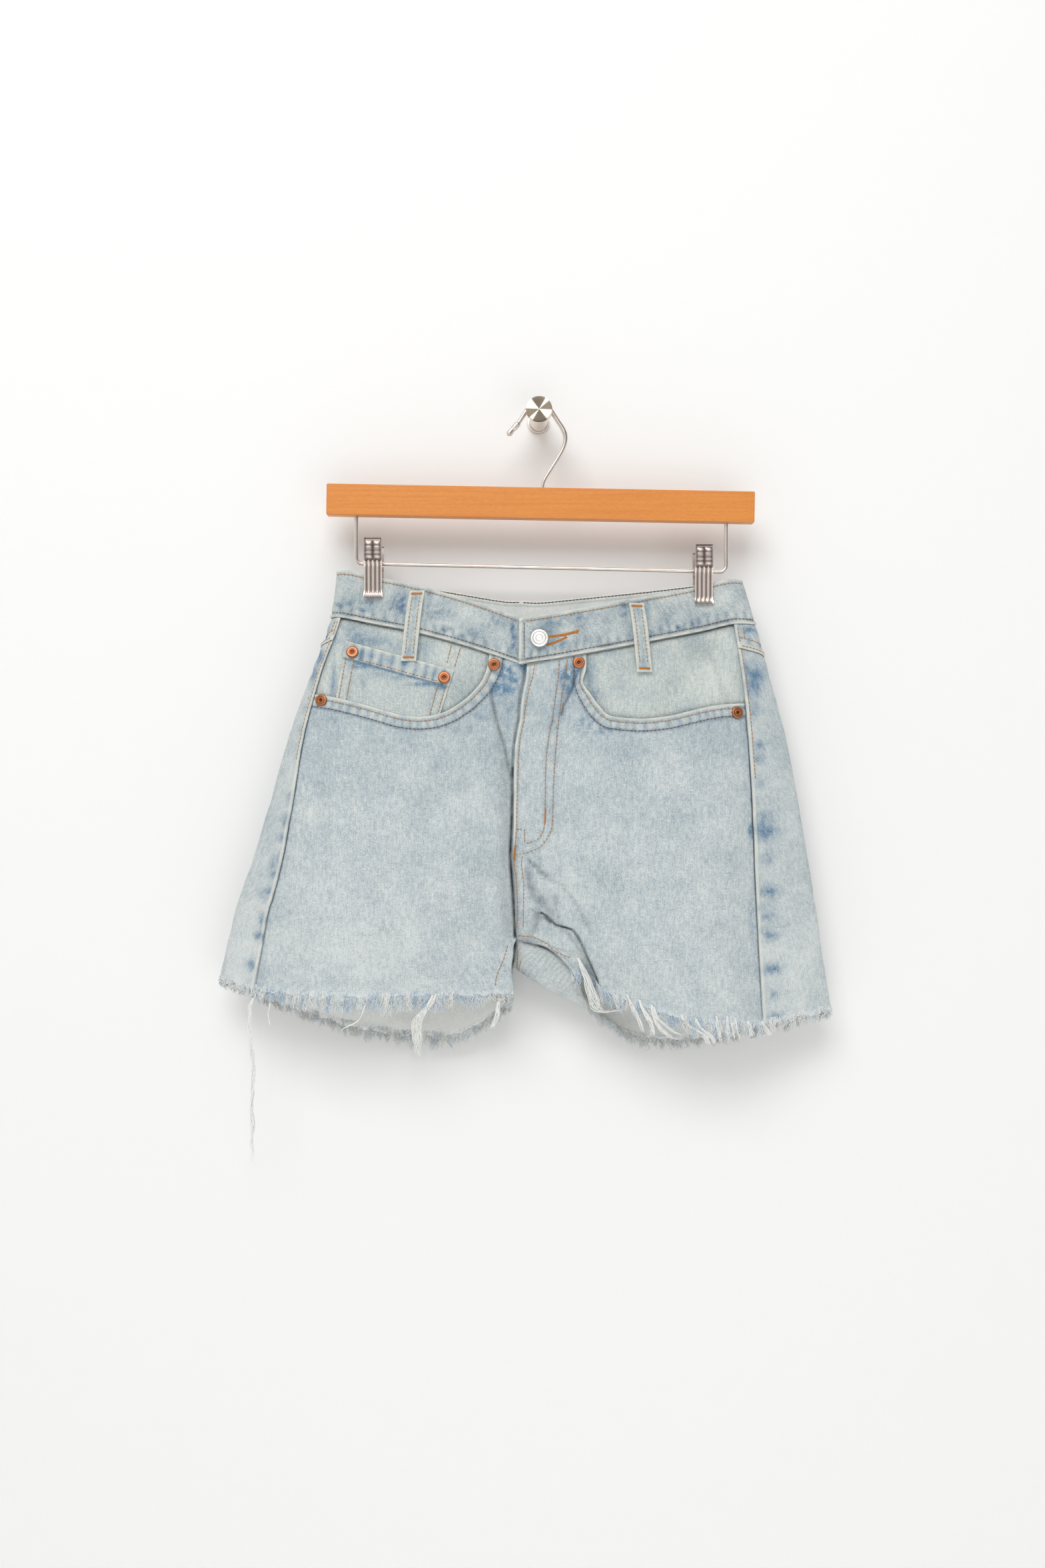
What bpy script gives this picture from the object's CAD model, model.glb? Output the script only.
# %% [markdown]
# # Cut-off denim shorts on a clip hanger
# These washed jeans were cut off above the knee and left raw. Two sprung clips hold them by the
# waistband under a wooden bar, and the bar's hook hangs on a steel peg in the wall. We dress the plain CAD
# solids: every panel becomes a thin sewn cloth with its stitches, worn seams and frayed hem.
#
# They fix every size, so all that follows has to land on them.

# %% The frame
import math

import bpy
import numpy as np
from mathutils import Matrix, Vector
from mathutils.kdtree import KDTree


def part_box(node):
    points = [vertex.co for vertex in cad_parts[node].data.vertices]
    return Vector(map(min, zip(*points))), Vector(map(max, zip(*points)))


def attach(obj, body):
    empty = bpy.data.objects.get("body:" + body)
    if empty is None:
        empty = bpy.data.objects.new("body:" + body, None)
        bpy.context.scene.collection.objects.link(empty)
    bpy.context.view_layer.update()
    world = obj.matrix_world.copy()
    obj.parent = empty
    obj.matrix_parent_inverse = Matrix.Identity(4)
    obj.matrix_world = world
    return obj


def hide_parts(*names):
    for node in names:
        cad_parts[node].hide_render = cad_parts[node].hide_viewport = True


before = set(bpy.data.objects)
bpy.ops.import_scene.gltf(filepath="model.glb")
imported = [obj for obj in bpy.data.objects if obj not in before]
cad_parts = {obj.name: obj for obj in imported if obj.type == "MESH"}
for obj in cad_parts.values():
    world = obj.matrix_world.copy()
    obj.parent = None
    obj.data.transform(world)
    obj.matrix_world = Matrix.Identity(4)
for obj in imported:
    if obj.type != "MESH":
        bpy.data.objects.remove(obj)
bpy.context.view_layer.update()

# %% [markdown]
# ## Camera and studio
# The camera stands 1.4 m from the wall, level with the middle of the garment, and looks straight in with a
# lens of about 37 mm on a 36 mm sensor. It comes first, because it decides how fine the detail has to be:
# one pixel of a large render is about half a millimetre of cloth.

# %% Camera
SENSOR_MM, LENS_MM = 36.0, 36.90306
CAMERA_PLACE = (-0.0139, -1.395, -0.313)

scene = bpy.context.scene
lens = bpy.data.cameras.new("studio_camera")
lens.sensor_fit, lens.sensor_width, lens.lens = "AUTO", SENSOR_MM, LENS_MM
camera = bpy.data.objects.new("studio_camera", lens)
camera.location = CAMERA_PLACE
camera.rotation_euler = (math.pi / 2, 0, 0)
scene.collection.objects.link(camera)
scene.camera = camera
scene.view_settings.view_transform = "Standard"
print("lens %.1f mm" % lens.lens)

# %% [markdown]
# Materials are node trees. One function adds a node, sets its properties and fills its sockets, each with
# a number, a colour or another node. Colours are written as the sRGB hex values that a designer uses, and
# a second function turns them into the linear numbers that light is worked out in.

# %% Nodes and colours
def linear(code):
    """An sRGB hex value as linear RGBA."""
    parts = [int(code[k:k + 2], 16) / 255 for k in (1, 3, 5)]
    return [c / 12.92 if c <= 0.04045 else ((c + 0.055) / 1.055) ** 2.4 for c in parts] + [1.0]


def node(tree, kind, settings=None, sockets=None):
    """Add a shader node. A socket takes a value, a node's first output or a named output."""
    made = tree.nodes.new("ShaderNode" + kind)
    for key, value in (settings or {}).items():
        setattr(made, key, value)
    for key, value in (sockets or {}).items():
        if isinstance(value, bpy.types.Node):
            value = value.outputs[0]
        if isinstance(value, bpy.types.NodeSocket):
            tree.links.new(value, made.inputs[key])
        else:
            made.inputs[key].default_value = value
    return made


def new_finish(name, **constants):
    """A Principled material, with constants set on the shader's own sockets."""
    made = bpy.data.materials.new(name)
    made.use_nodes = True
    shader = made.node_tree.nodes["Principled BSDF"]
    for key, value in constants.items():
        shader.inputs[key.replace("_", " ")].default_value = value
    return made, made.node_tree, shader


print("white is", [round(part, 2) for part in linear("#FFFFFF")], "in linear light")

# %% [markdown]
# ## Wall, floor and light
# A painted wall carries the peg, and a pale floor lies well below. Both are stage and not part of the
# object. The wall shows only its front: seen from behind it lets everything through, so that the back of
# the shorts can be looked at too. Light passes it both ways, so that a lamp behind it can light that side.
# One large soft box high in front gives the wide shadow under the hem, a weak one low in front lifts the
# folds, and a bright surround fills the rest.

# %% Stage
WALL_WHITE, SURROUND_WHITE, SURROUND_STRENGTH = "#F8F8F7", "#FDFDFC", 0.52


def stage_plane(name, size, place, turn, see_through=False):
    """A large matt plane behind or below the object."""
    made, tree, shader = new_finish(name + "_paint", Base_Color=linear(WALL_WHITE), Roughness=0.9)
    where = node(tree, "TexCoord").outputs["Object"]
    grain = node(tree, "TexNoise", sockets={"Vector": where, "Scale": 90.0})
    relief = node(tree, "Bump", sockets={"Height": grain, "Strength": 0.04, "Distance": 0.001})
    tree.links.new(relief.outputs[0], shader.inputs["Normal"])
    if see_through:
        behind = node(tree, "NewGeometry").outputs["Backfacing"]
        in_shadow = node(tree, "LightPath").outputs["Is Shadow Ray"]
        is_open = node(tree, "Math", {"operation": "MAXIMUM"}, {0: behind, 1: in_shadow})
        clear = node(tree, "BsdfTransparent")
        mixed = node(tree, "MixShader", sockets={0: is_open, 1: shader, 2: clear})
        tree.links.new(mixed.outputs[0], tree.nodes["Material Output"].inputs["Surface"])
    mesh = bpy.data.meshes.new(name)
    half = size / 2
    corners = [(-half, -half, 0), (half, -half, 0), (half, half, 0), (-half, half, 0)]
    mesh.from_pydata(corners, [], [(0, 1, 2, 3)])
    mesh.materials.append(made)
    plane = bpy.data.objects.new(name, mesh)
    plane.location, plane.rotation_euler = place, turn
    scene.collection.objects.link(plane)


stage_plane("studio_wall", 9.0, (0, 0.0004, 0), (math.pi / 2, 0, 0), see_through=True)
stage_plane("studio_floor", 9.0, (0, 0, -1.7), (0, 0, 0))

world = bpy.data.worlds.new("studio_surround")
world.use_nodes = True
surround = world.node_tree.nodes["Background"].inputs
surround["Color"].default_value = linear(SURROUND_WHITE)
surround["Strength"].default_value = SURROUND_STRENGTH
scene.world = world


def soft_light(name, power, width, height, place, target):
    """A rectangular soft box that points at a target."""
    lamp = bpy.data.lights.new(name, "AREA")
    lamp.shape, lamp.size, lamp.size_y, lamp.energy = "RECTANGLE", width, height, power
    box = bpy.data.objects.new(name, lamp)
    box.location = place
    box.rotation_euler = (Vector(target) - Vector(place)).to_track_quat("-Z", "Y").to_euler()
    scene.collection.objects.link(box)
    return box


soft_light("soft_box_above", 39.5, 1.8, 1.3, (-0.45, -2.3, 1.45), (0, -0.05, -0.4))
soft_light("soft_box_low", 8.5, 2.0, 1.2, (0.4, -2.2, -1.3), (0, -0.05, -0.5))
back_light = soft_light("soft_box_behind", 36.0, 1.8, 1.3, (0.5, 2.3, 1.2), (0, -0.05, -0.4))
back_light.data.cycles.max_bounces = 0        # it lights the garment's back and nothing else

# %% [markdown]
# ## The cloth surface
# The garment hangs as one smooth tube of cloth. Each half is a net of twelve columns, from the centre
# front round the leg to the centre back, and eleven rows from the waistband's top to the hem. Smooth
# curves run through the net, so a place is just two numbers: how far across and how far down. The same
# tables made the CAD solids, so pieces made here lie on them exactly.

# %% Sizes of the surface, in millimetres
MM = 0.001


def table(names, rows):
    """Columns of a table by name."""
    return {name: np.array(column, float) for name, column in zip(names.split(), zip(*rows))}


# The shared line up the middle, at each level from the waist seam (0) to the hem (1).
CENTRE = table("level x y_front z_front y_back z_back", (
    (-0.12, -14, -70.0, -176.5, -22.5, -156.5),
    (0.00, -14, -71.0, -215.0, -21.0, -193.0),
    (0.15, -14, -72.0, -248.0, -16.5, -237.0),
    (0.32, -16, -72.0, -287.0, -14.5, -286.0),
    (0.50, -18, -71.0, -330.0, -13.5, -340.0),
    (0.66, -19, -69.0, -385.0, -15.0, -408.0),
    (0.73, -19, -67.0, -412.0, -27.0, -455.0),
    (0.76, -19, -65.0, -427.0, -46.0, -467.0),
    (0.79, -19, -62.5, -442.0, -62.5, -442.0),
))
# How far the cloth stands out, as y, from the centre front round to the centre back.
DEPTH = table("level in mid out seam edge turn back_out back_mid back_in", (
    (-0.12, -65, -55, -45.4, -48.0, -42, -36.6, -38.6, -29, -24.0),
    (0.00, -68, -59, -48.0, -50.0, -42, -34.8, -36.5, -26, -21.5),
    (0.15, -73, -69, -60.0, -55.0, -42, -33.0, -30.0, -20, -17.0),
    (0.32, -75, -74, -67.0, -57.0, -42, -31.0, -26.0, -16, -14.5),
    (0.50, -75, -76, -70.0, -59.0, -42, -30.0, -24.0, -15, -14.0),
    (0.66, -75, -77, -72.0, -60.0, -42, -29.0, -22.0, -14, -14.5),
    (0.73, -74, -77, -73.0, -61.0, -42, -28.5, -21.0, -14, -16.0),
    (0.76, -73, -77, -73.0, -61.0, -42, -28.0, -21.0, -14, -17.0),
    (0.79, -72, -77, -73.0, -61.0, -42, -28.0, -20.0, -14, -18.0),
    (0.90, -71, -77, -74.0, -62.0, -42, -27.0, -20.0, -14, -19.0),
    (1.00, -69, -78, -74.0, -63.0, -42, -26.0, -19.0, -14, -20.0),
))
LEVELS = DEPTH["level"]
CROTCH = 8
FRONT_SHARES = (0.30, 0.60, 0.84)
BACK_SHARES = (0.06, 0.22, 0.50, 0.80)
BACK_SAG = (0.18, 0.58, 1.00, 0.95)
WIDTHS = {
    "right": table("x_seam x_edge x_fold y_fold z_fold", (
        (-160, -169.5, -30.0, -22.5, -156),
        (-166, -175.0, -30.0, -21.0, -192),
        (-182, -191.5, -30.0, -17.0, -236),
        (-196, -210.0, -31.0, -14.5, -284),
        (-205, -225.5, -33.0, -13.5, -336),
        (-214, -240.0, -34.0, -14.5, -400),
        (-219.5, -247.5, -33.0, -22.0, -447),
        (-222, -251.0, -30.0, -37.0, -467),
        (-225, -254.0, -28.0, -44.0, -474),
        (-231, -262.0, -24.0, -44.0, -484),
        (-237, -269.0, -23.0, -42.0, -494),
    )),
    "left": table("x_seam x_edge x_fold y_fold z_fold", (
        (158, 170.5, 2.0, -22.5, -157),
        (163, 182.0, 2.0, -21.0, -193),
        (170, 195.5, 2.0, -17.0, -237),
        (175, 209.5, 1.0, -14.5, -286),
        (178, 219.5, -1.0, -13.5, -341),
        (180, 228.0, -3.0, -14.5, -408),
        (181, 231.5, -5.0, -25.0, -458),
        (181.5, 233.0, -7.0, -39.0, -474),
        (182, 234.5, 1.0, -43.0, -482),
        (184, 239.5, 22.0, -42.0, -492),
        (186, 244.5, 44.0, -38.0, -501),
    )),
}
INSEAM = {
    "right": table("x y z", ((-29, -62, -462), (-37, -60, -487))),
    "left": table("x y z", ((8, -62, -450), (28, -58, -470))),
}
HEIGHTS = {
    "right": {"band": -134, "waist": -174, "hem": -484, "edge_rise": 6, "bow": (4, -3), "back_dip": -38},
    "left": {"band": -141.5, "waist": -179.5, "hem": -513, "edge_rise": 9, "bow": (-1, -12), "back_dip": -28},
}
SIDES = {"right": -1, "left": 1}     # the wearer's right is at -X
SEAM, EDGE, FOLD, LAST = 4, 5, 10, 11
WAIST, HEM = 1, 10

# Main creases: half, face, two ends in x and z, height (below zero a trough) and half width.
CREASES = (
    ("right", "front", -38, -222, -26, -300, -2.5, 7),
    ("right", "front", -66, -270, -85, -330, -3.0, 16),
    ("right", "front", -85, -330, -99, -372, -2.5, 18),
    ("right", "front", -43, -395, -65, -470, -3.0, 12),
    ("right", "front", -140, -300, -150, -420, 2.0, 40),
    ("right", "back", -60, -300, -75, -420, -3.5, 16),
    ("right", "back", -150, -330, -165, -480, -3.0, 22),
    ("right", "back", -70, -440, -110, -500, 2.5, 18),
    ("left", "front", 30, -225, 16, -265, -2.0, 7),
    ("left", "front", 53, -388, 80, -440, -3.0, 9),
    ("left", "front", 72, -410, 104, -490, -3.0, 10),
    ("left", "front", 110, -300, 120, -420, 2.0, 40),
    ("left", "back", 40, -300, 55, -420, -3.5, 16),
    ("left", "back", 120, -340, 135, -480, -3.0, 22),
    ("left", "back", 60, -440, 95, -505, 2.5, 16),
)
# Beside the left inseam the cloth hangs over itself along this line, high above it and low below.
OVERHANG = ((2, -421), (22, -434), (36, -452), (50, -482))
OVERHANG_RISE, OVERHANG_SINK = 4.5, 6.0
EDGE_FADE = 0.3                      # creases fade out this near a seam, in columns
# The left fly edge: how far it stands up and laps over, how wide that fades, and the row where it ends.
FLY_RISE, FLY_LAP, FLY_FADE, LAP_END = 3.0, 3.0, 16.0, 5.5
print("levels of the net:", LEVELS.tolist())

# %% [markdown]
# The surface comes in two steps. First the plain tube: Catmull-Rom curves through the net, pulled on to
# the centre seam and inseam at its borders.

# %% The plain surface
def centre_point(half, row, back):
    """Front or back centre line, or below the crotch the inseam."""
    if row <= CROTCH:
        face = "back" if back else "front"
        return [CENTRE[key][row] for key in ("x", "y_" + face, "z_" + face)]
    return [INSEAM[half][key][row - CROTCH - 1] for key in ("x", "y", "z")]


def section(half, row):
    """The twelve points of one half section, from the front centre round to the back."""
    widths, heights = WIDTHS[half], HEIGHTS[half]
    level = max(LEVELS[row], 0.0)
    fall = heights["hem"] - heights["waist"]
    side_z = heights["band"] if row == 0 else heights["waist"] + LEVELS[row] * fall
    front = centre_point(half, row, back=False)
    points = [front]
    bow = heights["bow"][0] + level * (heights["bow"][1] - heights["bow"][0])
    for share, key in zip(FRONT_SHARES, ("in", "mid", "out")):
        x = front[0] + share * (widths["x_seam"][row] - front[0])
        z = front[2] + share * (side_z - front[2]) + bow * math.sin(math.pi * share)
        points.append([x, DEPTH[key][row], z])
    points.append([widths["x_seam"][row], DEPTH["seam"][row], side_z])
    edge = [widths["x_edge"][row], DEPTH["edge"][row], side_z + level * heights["edge_rise"]]
    fold = [widths[key][row] for key in ("x_fold", "y_fold", "z_fold")]
    points.append(edge)
    dip = heights["back_dip"] * max(0.0, (level - 0.5) / 0.5) ** 1.5
    for share, sag, key in zip(BACK_SHARES, BACK_SAG, ("turn", "back_out", "back_mid", "back_in")):
        points.append([edge[0] + share * (fold[0] - edge[0]), DEPTH[key][row],
                       edge[2] + share * (fold[2] - edge[2]) + sag * dip])
    return points + [fold, centre_point(half, row, back=True)]


def unit(vectors):
    """Vectors of length one."""
    return vectors / np.linalg.norm(vectors, axis=-1, keepdims=True)


def padded(net):
    """A net with one mirrored row and column added on each side."""
    net = np.concatenate([2 * net[:1] - net[1:2], net, 2 * net[-1:] - net[-2:-1]])
    return np.concatenate([2 * net[:, :1] - net[:, 1:2], net, 2 * net[:, -1:] - net[:, -2:-1]], axis=1)


NETS = {half: padded(np.array([section(half, row) for row in range(len(LEVELS))])) for half in SIDES}


def weights(place, count):
    """Catmull-Rom weights and the four knots they belong to."""
    first = np.clip(np.floor(place).astype(int), 0, count - 2)
    f = place - first
    cubic = (-f / 2 + f ** 2 - f ** 3 / 2, 1 - 2.5 * f ** 2 + 1.5 * f ** 3,
             f / 2 + 2 * f ** 2 - 1.5 * f ** 3, -f ** 2 / 2 + f ** 3 / 2)
    return cubic, [first + k for k in range(4)]


def net_points(half, across, down):
    """Points of the surface through the whole net."""
    row_weights, rows = weights(down, len(LEVELS))
    column_weights, columns = weights(across, LAST + 1)
    points = np.zeros(np.shape(across) + (3,))
    for row_weight, row in zip(row_weights, rows):
        for column_weight, column in zip(column_weights, columns):
            points += (row_weight * column_weight)[..., None] * NETS[half][row, column]
    return points


def curve_points(knots, place):
    """Points of a smooth curve through its knots."""
    knots = np.concatenate([2 * knots[:1] - knots[1:2], knots, 2 * knots[-1:] - knots[-2:-1]])
    cubic, rows = weights(place, len(knots) - 2)
    return sum(weight[..., None] * knots[row] for weight, row in zip(cubic, rows))


def seam_points(half, back, down):
    """The centre seam down to the crotch and the inseam below it."""
    knots = np.array([centre_point(half, row, back) for row in range(len(LEVELS))])
    upper = curve_points(knots[:CROTCH + 1], np.minimum(down, CROTCH))
    lower = curve_points(knots[CROTCH:], np.maximum(down - CROTCH, 0))
    return np.where((down <= CROTCH)[..., None], upper, lower)


def smooth_points(half, across, down):
    """Points of the plain surface."""
    points = net_points(half, across, down)
    for back, column in ((False, 0), (True, LAST)):
        near = np.clip(1 - np.abs(across - column), 0, 1) ** 2
        if near.any():
            own = net_points(half, np.full(np.shape(across), float(column)), down)
            points += near[..., None] * (seam_points(half, back, down) - own)
    return points


def spread(start, end, count):
    """Evenly spaced places from start to end."""
    return np.linspace(start, end, count)


girth = np.linalg.norm(np.diff(smooth_points("left", spread(0, LAST, 200), spread(3, 3, 200)), axis=0), axis=1)
print("half girth at the hip: %.0f mm" % girth.sum())

# %% [markdown]
# Then the creases lift or sink that tube along its own normal, and the left fly edge laps over the right
# one. A crease is a soft ridge or trough round a straight line; one function of places gives the cloth.

# %% The creased cloth
def segment_distance(points, start, end):
    """Distance in x and z from a segment, and the share along it."""
    start, end = np.array(start, float), np.array(end, float)
    along = end - start
    flat = points[..., [0, 2]] - start
    share = np.clip(flat @ along / (along @ along), 0, 1)
    return np.linalg.norm(flat - share[..., None] * along, axis=-1), share


def crease_height(half, points, across, creases=CREASES):
    """How far the creases lift the cloth."""
    lift = np.zeros(points.shape[:-1])
    for owner, face, x0, z0, x1, z1, depth, width in creases:
        if owner == half:
            near = segment_distance(points, (x0, z0), (x1, z1))[0]
            on_face = (across < SEAM) if face == "front" else (across > EDGE)
            lift += on_face * depth * np.exp(-(near / width) ** 2)
    return lift


def overhang_height(points, across):
    """The step beside the left inseam, where the cloth hangs over itself."""
    best = np.full(points.shape[:-1], 1e9)
    side = np.zeros(points.shape[:-1])
    for start, end in zip(OVERHANG[:-1], OVERHANG[1:]):
        near = segment_distance(points, start, end)[0]
        run_x, run_z = end[0] - start[0], end[1] - start[1]
        cross = run_x * (points[..., 2] - start[1]) - run_z * (points[..., 0] - start[0])
        side = np.where(near < best, np.sign(cross), side)
        best = np.minimum(best, near)
    step = np.tanh(best * side / 3.0)
    above, under = OVERHANG_RISE * np.exp(-(best / 34) ** 2), OVERHANG_SINK * np.exp(-(best / 16) ** 2)
    rise = np.where(step > 0, above, under)
    top_fade = 1 / (1 + np.exp((points[..., 2] - OVERHANG[0][1]) / 4.0))
    return (across < SEAM) * top_fade * rise * step


def slope_normal(half, across, down):
    """Unit normals of one half's plain surface."""
    step = 0.02
    across_run = smooth_points(half, across + step, down) - smooth_points(half, across - step, down)
    down_run = smooth_points(half, across, down + step) - smooth_points(half, across, down - step)
    return unit(np.cross(across_run, down_run) * -SIDES[half])


def outward(half, across, down):
    """Unit normals out of the tube, shared where two pieces meet."""
    normal = slope_normal(half, across, down)
    at_edge = (across <= 0) | (across >= LAST)
    normal[at_edge & (down <= CROTCH), 0] = 0
    below = at_edge & (down > CROTCH)
    if below.any():
        normal[below] += slope_normal(half, LAST - across[below], down[below])
    return unit(normal)


def cloth(half, across, down, inset=0.0):
    """Points of the creased cloth, moved inset mm towards the inside."""
    across, down = np.broadcast_arrays(np.asarray(across, float), np.asarray(down, float))
    points = smooth_points(half, across, down)
    lift = crease_height(half, points, across)
    if half == "left":
        lift += overhang_height(points, across)
    from_edge = np.clip(np.minimum(across, LAST - across) / EDGE_FADE, 0, 1)
    lift *= from_edge ** 2 * (3 - 2 * from_edge)
    if half == "left":
        off_centre = np.abs(points[..., 0] - np.interp(down, range(CROTCH + 1), CENTRE["x"]))
        fade = np.clip((CROTCH - down) / 2.5, 0, 1)
        lift += (across < SEAM) * FLY_RISE * np.exp(-(off_centre / FLY_FADE) ** 2) * fade
        points[..., 0] -= FLY_LAP * np.exp(-(across / 0.35) ** 2) * np.clip((LAP_END - down) / 1.5, 0, 1)
    return points + outward(half, across, down) * (lift - inset)[..., None]


def runs(*parts):
    """Places along a line in stretches of different closeness: start, then (end, steps) pairs."""
    line = [np.array([parts[0]], float)]
    for end, steps in parts[1:]:
        line.append(spread(line[-1][-1], end, steps + 1)[1:])
    return np.concatenate(line)


print("the left front's middle is at", cloth("left", 2.0, 5.0).round(1).tolist(), "mm")

# %% [markdown]
# A tailor says where a seam lies by how far out and how far down it is. So does the next function: it
# takes x and z, finds the nearest place of a coarse grid, and then walks to the exact place in a few
# Newton steps. Everything sewn on later is found through it.

# %% Finding a place on the cloth
def coarse_grid(half, back):
    """A search tree over places of one face, and the places."""
    across, down = np.meshgrid(spread(SEAM, LAST, 85) if back else spread(0, EDGE, 61), spread(0, HEM, 121))
    spots = smooth_points(half, across, down)[..., [0, 2]].reshape(-1, 2)
    tree = KDTree(len(spots))
    for k, (x, z) in enumerate(spots):
        tree.insert((x, 0, z), k)
    tree.balance()
    return tree, across.ravel(), down.ravel()


SEARCH = {(half, back): coarse_grid(half, back) for half in SIDES for back in (False, True)}


def place_of(half, x, z, back=False):
    """Places across and down whose cloth is at x and z."""
    x, z = np.broadcast_arrays(np.asarray(x, float), np.asarray(z, float))
    tree, grid_across, grid_down = SEARCH[half, back]
    near = [tree.find((a, 0, b))[1] for a, b in zip(x.ravel(), z.ravel())]
    across, down = grid_across[near].reshape(x.shape).copy(), grid_down[near].reshape(x.shape).copy()
    target, step = np.stack([x, z], axis=-1), 0.01
    for _ in range(6):
        here = cloth(half, across, down)[..., [0, 2]]
        by_across = (cloth(half, across + step, down)[..., [0, 2]] - here) / step
        by_down = (cloth(half, across, down + step)[..., [0, 2]] - here) / step
        miss = target - here
        area = by_across[..., 0] * by_down[..., 1] - by_across[..., 1] * by_down[..., 0]
        area = np.where(np.abs(area) < 5, np.sign(area) * 5 + (area == 0) * 5, area)
        go_across = (miss[..., 0] * by_down[..., 1] - miss[..., 1] * by_down[..., 0]) / area
        go_down = (miss[..., 1] * by_across[..., 0] - miss[..., 0] * by_across[..., 1]) / area
        across = across + np.clip(go_across, -0.15, 0.15)
        down = down + np.clip(go_down, -0.15, 0.15)
    return across, down


test = cloth("left", *place_of("left", np.array([60.0, 120.0]), np.array([-300.0, -400.0])))
print("search misses by %.3f mm" % np.abs(test[:, [0, 2]] - [[60, -300], [120, -400]]).max())

# %% [markdown]
# Real cloth is never even. `uneven` is a smooth random field made of a few dozen waves in random
# directions, and `pucker` is a wave along a seam whose length keeps changing. Both are seeded, so that
# every run gives the same shorts. The other helpers say how far a place lies from a seam or a spot.

# %% Unevenness, and distances from lines
WAVES = 28                           # plane waves in one uneven field


def uneven(points, size, seed):
    """A smooth random field between about -1 and 1, whose humps are about size mm wide."""
    chance = np.random.default_rng(seed)
    heading = unit(unit(chance.normal(size=(3, WAVES))).T)
    heading = heading * (math.pi / size) * chance.uniform(0.6, 1.5, (WAVES, 1))
    return np.cos(points @ heading.T + chance.uniform(0, 6.28, WAVES)).sum(axis=-1) / math.sqrt(WAVES)


def pucker(along, length, seed=0.0):
    """A wave of changing length along a seam."""
    drift = np.sin(along / (2.3 * length) + seed) + 0.7 * np.sin(along / (4.1 * length) + 2.1 * seed)
    return np.sin(2 * math.pi * (along / length + 0.45 * drift))


def from_line(points, line):
    """Distance in x and z from a line, and how far along the line the nearest place is."""
    best, along, run = np.full(points.shape[:-1], 1e9), np.zeros(points.shape[:-1]), 0.0
    for start, end in zip(line[:-1], line[1:]):
        near, share = segment_distance(points, start, end)
        length = math.dist(start, end)
        along = np.where(near < best, run + share * length, along)
        best = np.minimum(best, near)
        run += length
    return best, along


def off_line(points, line):
    """Distance in x and z from a line."""
    return from_line(points, line)[0]


def ridge(distance, middle, width, height):
    """A soft ridge or groove at some distance from a seam."""
    return height * np.exp(-((distance - middle) / width) ** 2)


def spotted(points, spots):
    """How strongly unfaded spots, given as x, z, half sizes and strength, darken a place."""
    left = np.ones(points.shape[:-1])
    for x, z, wide, high, strength in spots:
        left *= 1 - strength * np.exp(-((points[..., 0] - x) / wide) ** 2 - ((points[..., 2] - z) / high) ** 2)
    return 1 - left


def run_along(points):
    """How far along a line of points each of them lies."""
    return np.concatenate([[0], np.cumsum(np.linalg.norm(np.diff(points, axis=0), axis=1))])


def values_at(where, run, values):
    """Each column of values, given along a run, at other places of it."""
    return np.stack([np.interp(where, run, column) for column in values.T], axis=1)


field = uneven(np.random.default_rng(1).uniform(-200, 200, (2000, 3)), 10.0, 2)
print("an uneven field runs from %.1f to %.1f" % (field.min(), field.max()))

# %% [markdown]
# ## Cloth pieces as meshes
# Each piece is a grid of points with real thickness: the outer face, the same face moved in, and a rim
# that rounds the edge. The points also carry what the material will need: coordinates measured along the
# cloth in metres, so that the weave keeps its size everywhere, and five numbers: how blue, how worn and
# how frayed the denim is there, how deep in a crease, and how much more or less it was washed.

# %% Grids to meshes
def border(rows, columns):
    """Indices of a grid's border, once round."""
    k = np.arange(rows * columns).reshape(rows, columns)
    return np.concatenate([k[0, :-1], k[:-1, -1], k[-1, :0:-1], k[:0:-1, 0]])


def grid_quads(rows, columns):
    """Quads of a grid."""
    k = np.arange(rows * columns).reshape(rows, columns)
    return np.stack([k[:-1, :-1], k[:-1, 1:], k[1:, 1:], k[1:, :-1]], axis=-1).reshape(-1, 4)


def tube_quads(shape):
    """Quads of many tubes, from their array's shape: tube, station along it, corner round it."""
    k = np.arange(math.prod(shape)).reshape(shape)
    around = np.roll(k, -1, axis=2)
    return np.stack([k[:, :-1], around[:, :-1], around[:, 1:], k[:, 1:]], axis=-1).reshape(-1, 4)


def closed(outer, inner, turn):
    """Points and faces of a closed sheet between two grids; turn is -1 where its faces have to flip."""
    rows, columns = outer.shape[:2]
    edge, count, quads = border(rows, columns), rows * columns, grid_quads(rows, columns)
    rim = np.stack([np.roll(edge, -1), edge, edge + count, np.roll(edge, -1) + count], axis=-1)
    faces = np.concatenate([quads, quads[:, ::-1] + count, rim])
    return np.concatenate([outer.reshape(-1, 3), inner.reshape(-1, 3)]), faces[:, ::turn]


def gathered(parts):
    """One lot of points and faces from several."""
    starts = np.cumsum([0] + [len(points) for points, _ in parts])
    faces = [some + start for (_, some), start in zip(parts, starts)]
    return np.concatenate([points for points, _ in parts]), np.concatenate(faces)


def cloth_metres(outer):
    """Coordinates in metres along the cloth, from the middle column and up from the last row."""
    across = np.cumsum(np.linalg.norm(np.diff(outer, axis=1, prepend=outer[:, :1]), axis=-1), axis=1)
    across -= across[:, outer.shape[1] // 2][:, None]
    down = np.cumsum(np.linalg.norm(np.diff(outer, axis=0, prepend=outer[:1]), axis=-1), axis=0)
    return np.stack([across, down[-1] - down], axis=-1) * MM


print("a grid of 3 by 4 points has", len(border(3, 4)), "on its border and", len(grid_quads(3, 4)), "quads")

# %% [markdown]
# Three more helpers make a mesh from such arrays, give it its numbers, and link it as a piece: it rides on
# the body, says what it is made of and which solids it stands for. `shell` does all of it for cloth.

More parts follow.
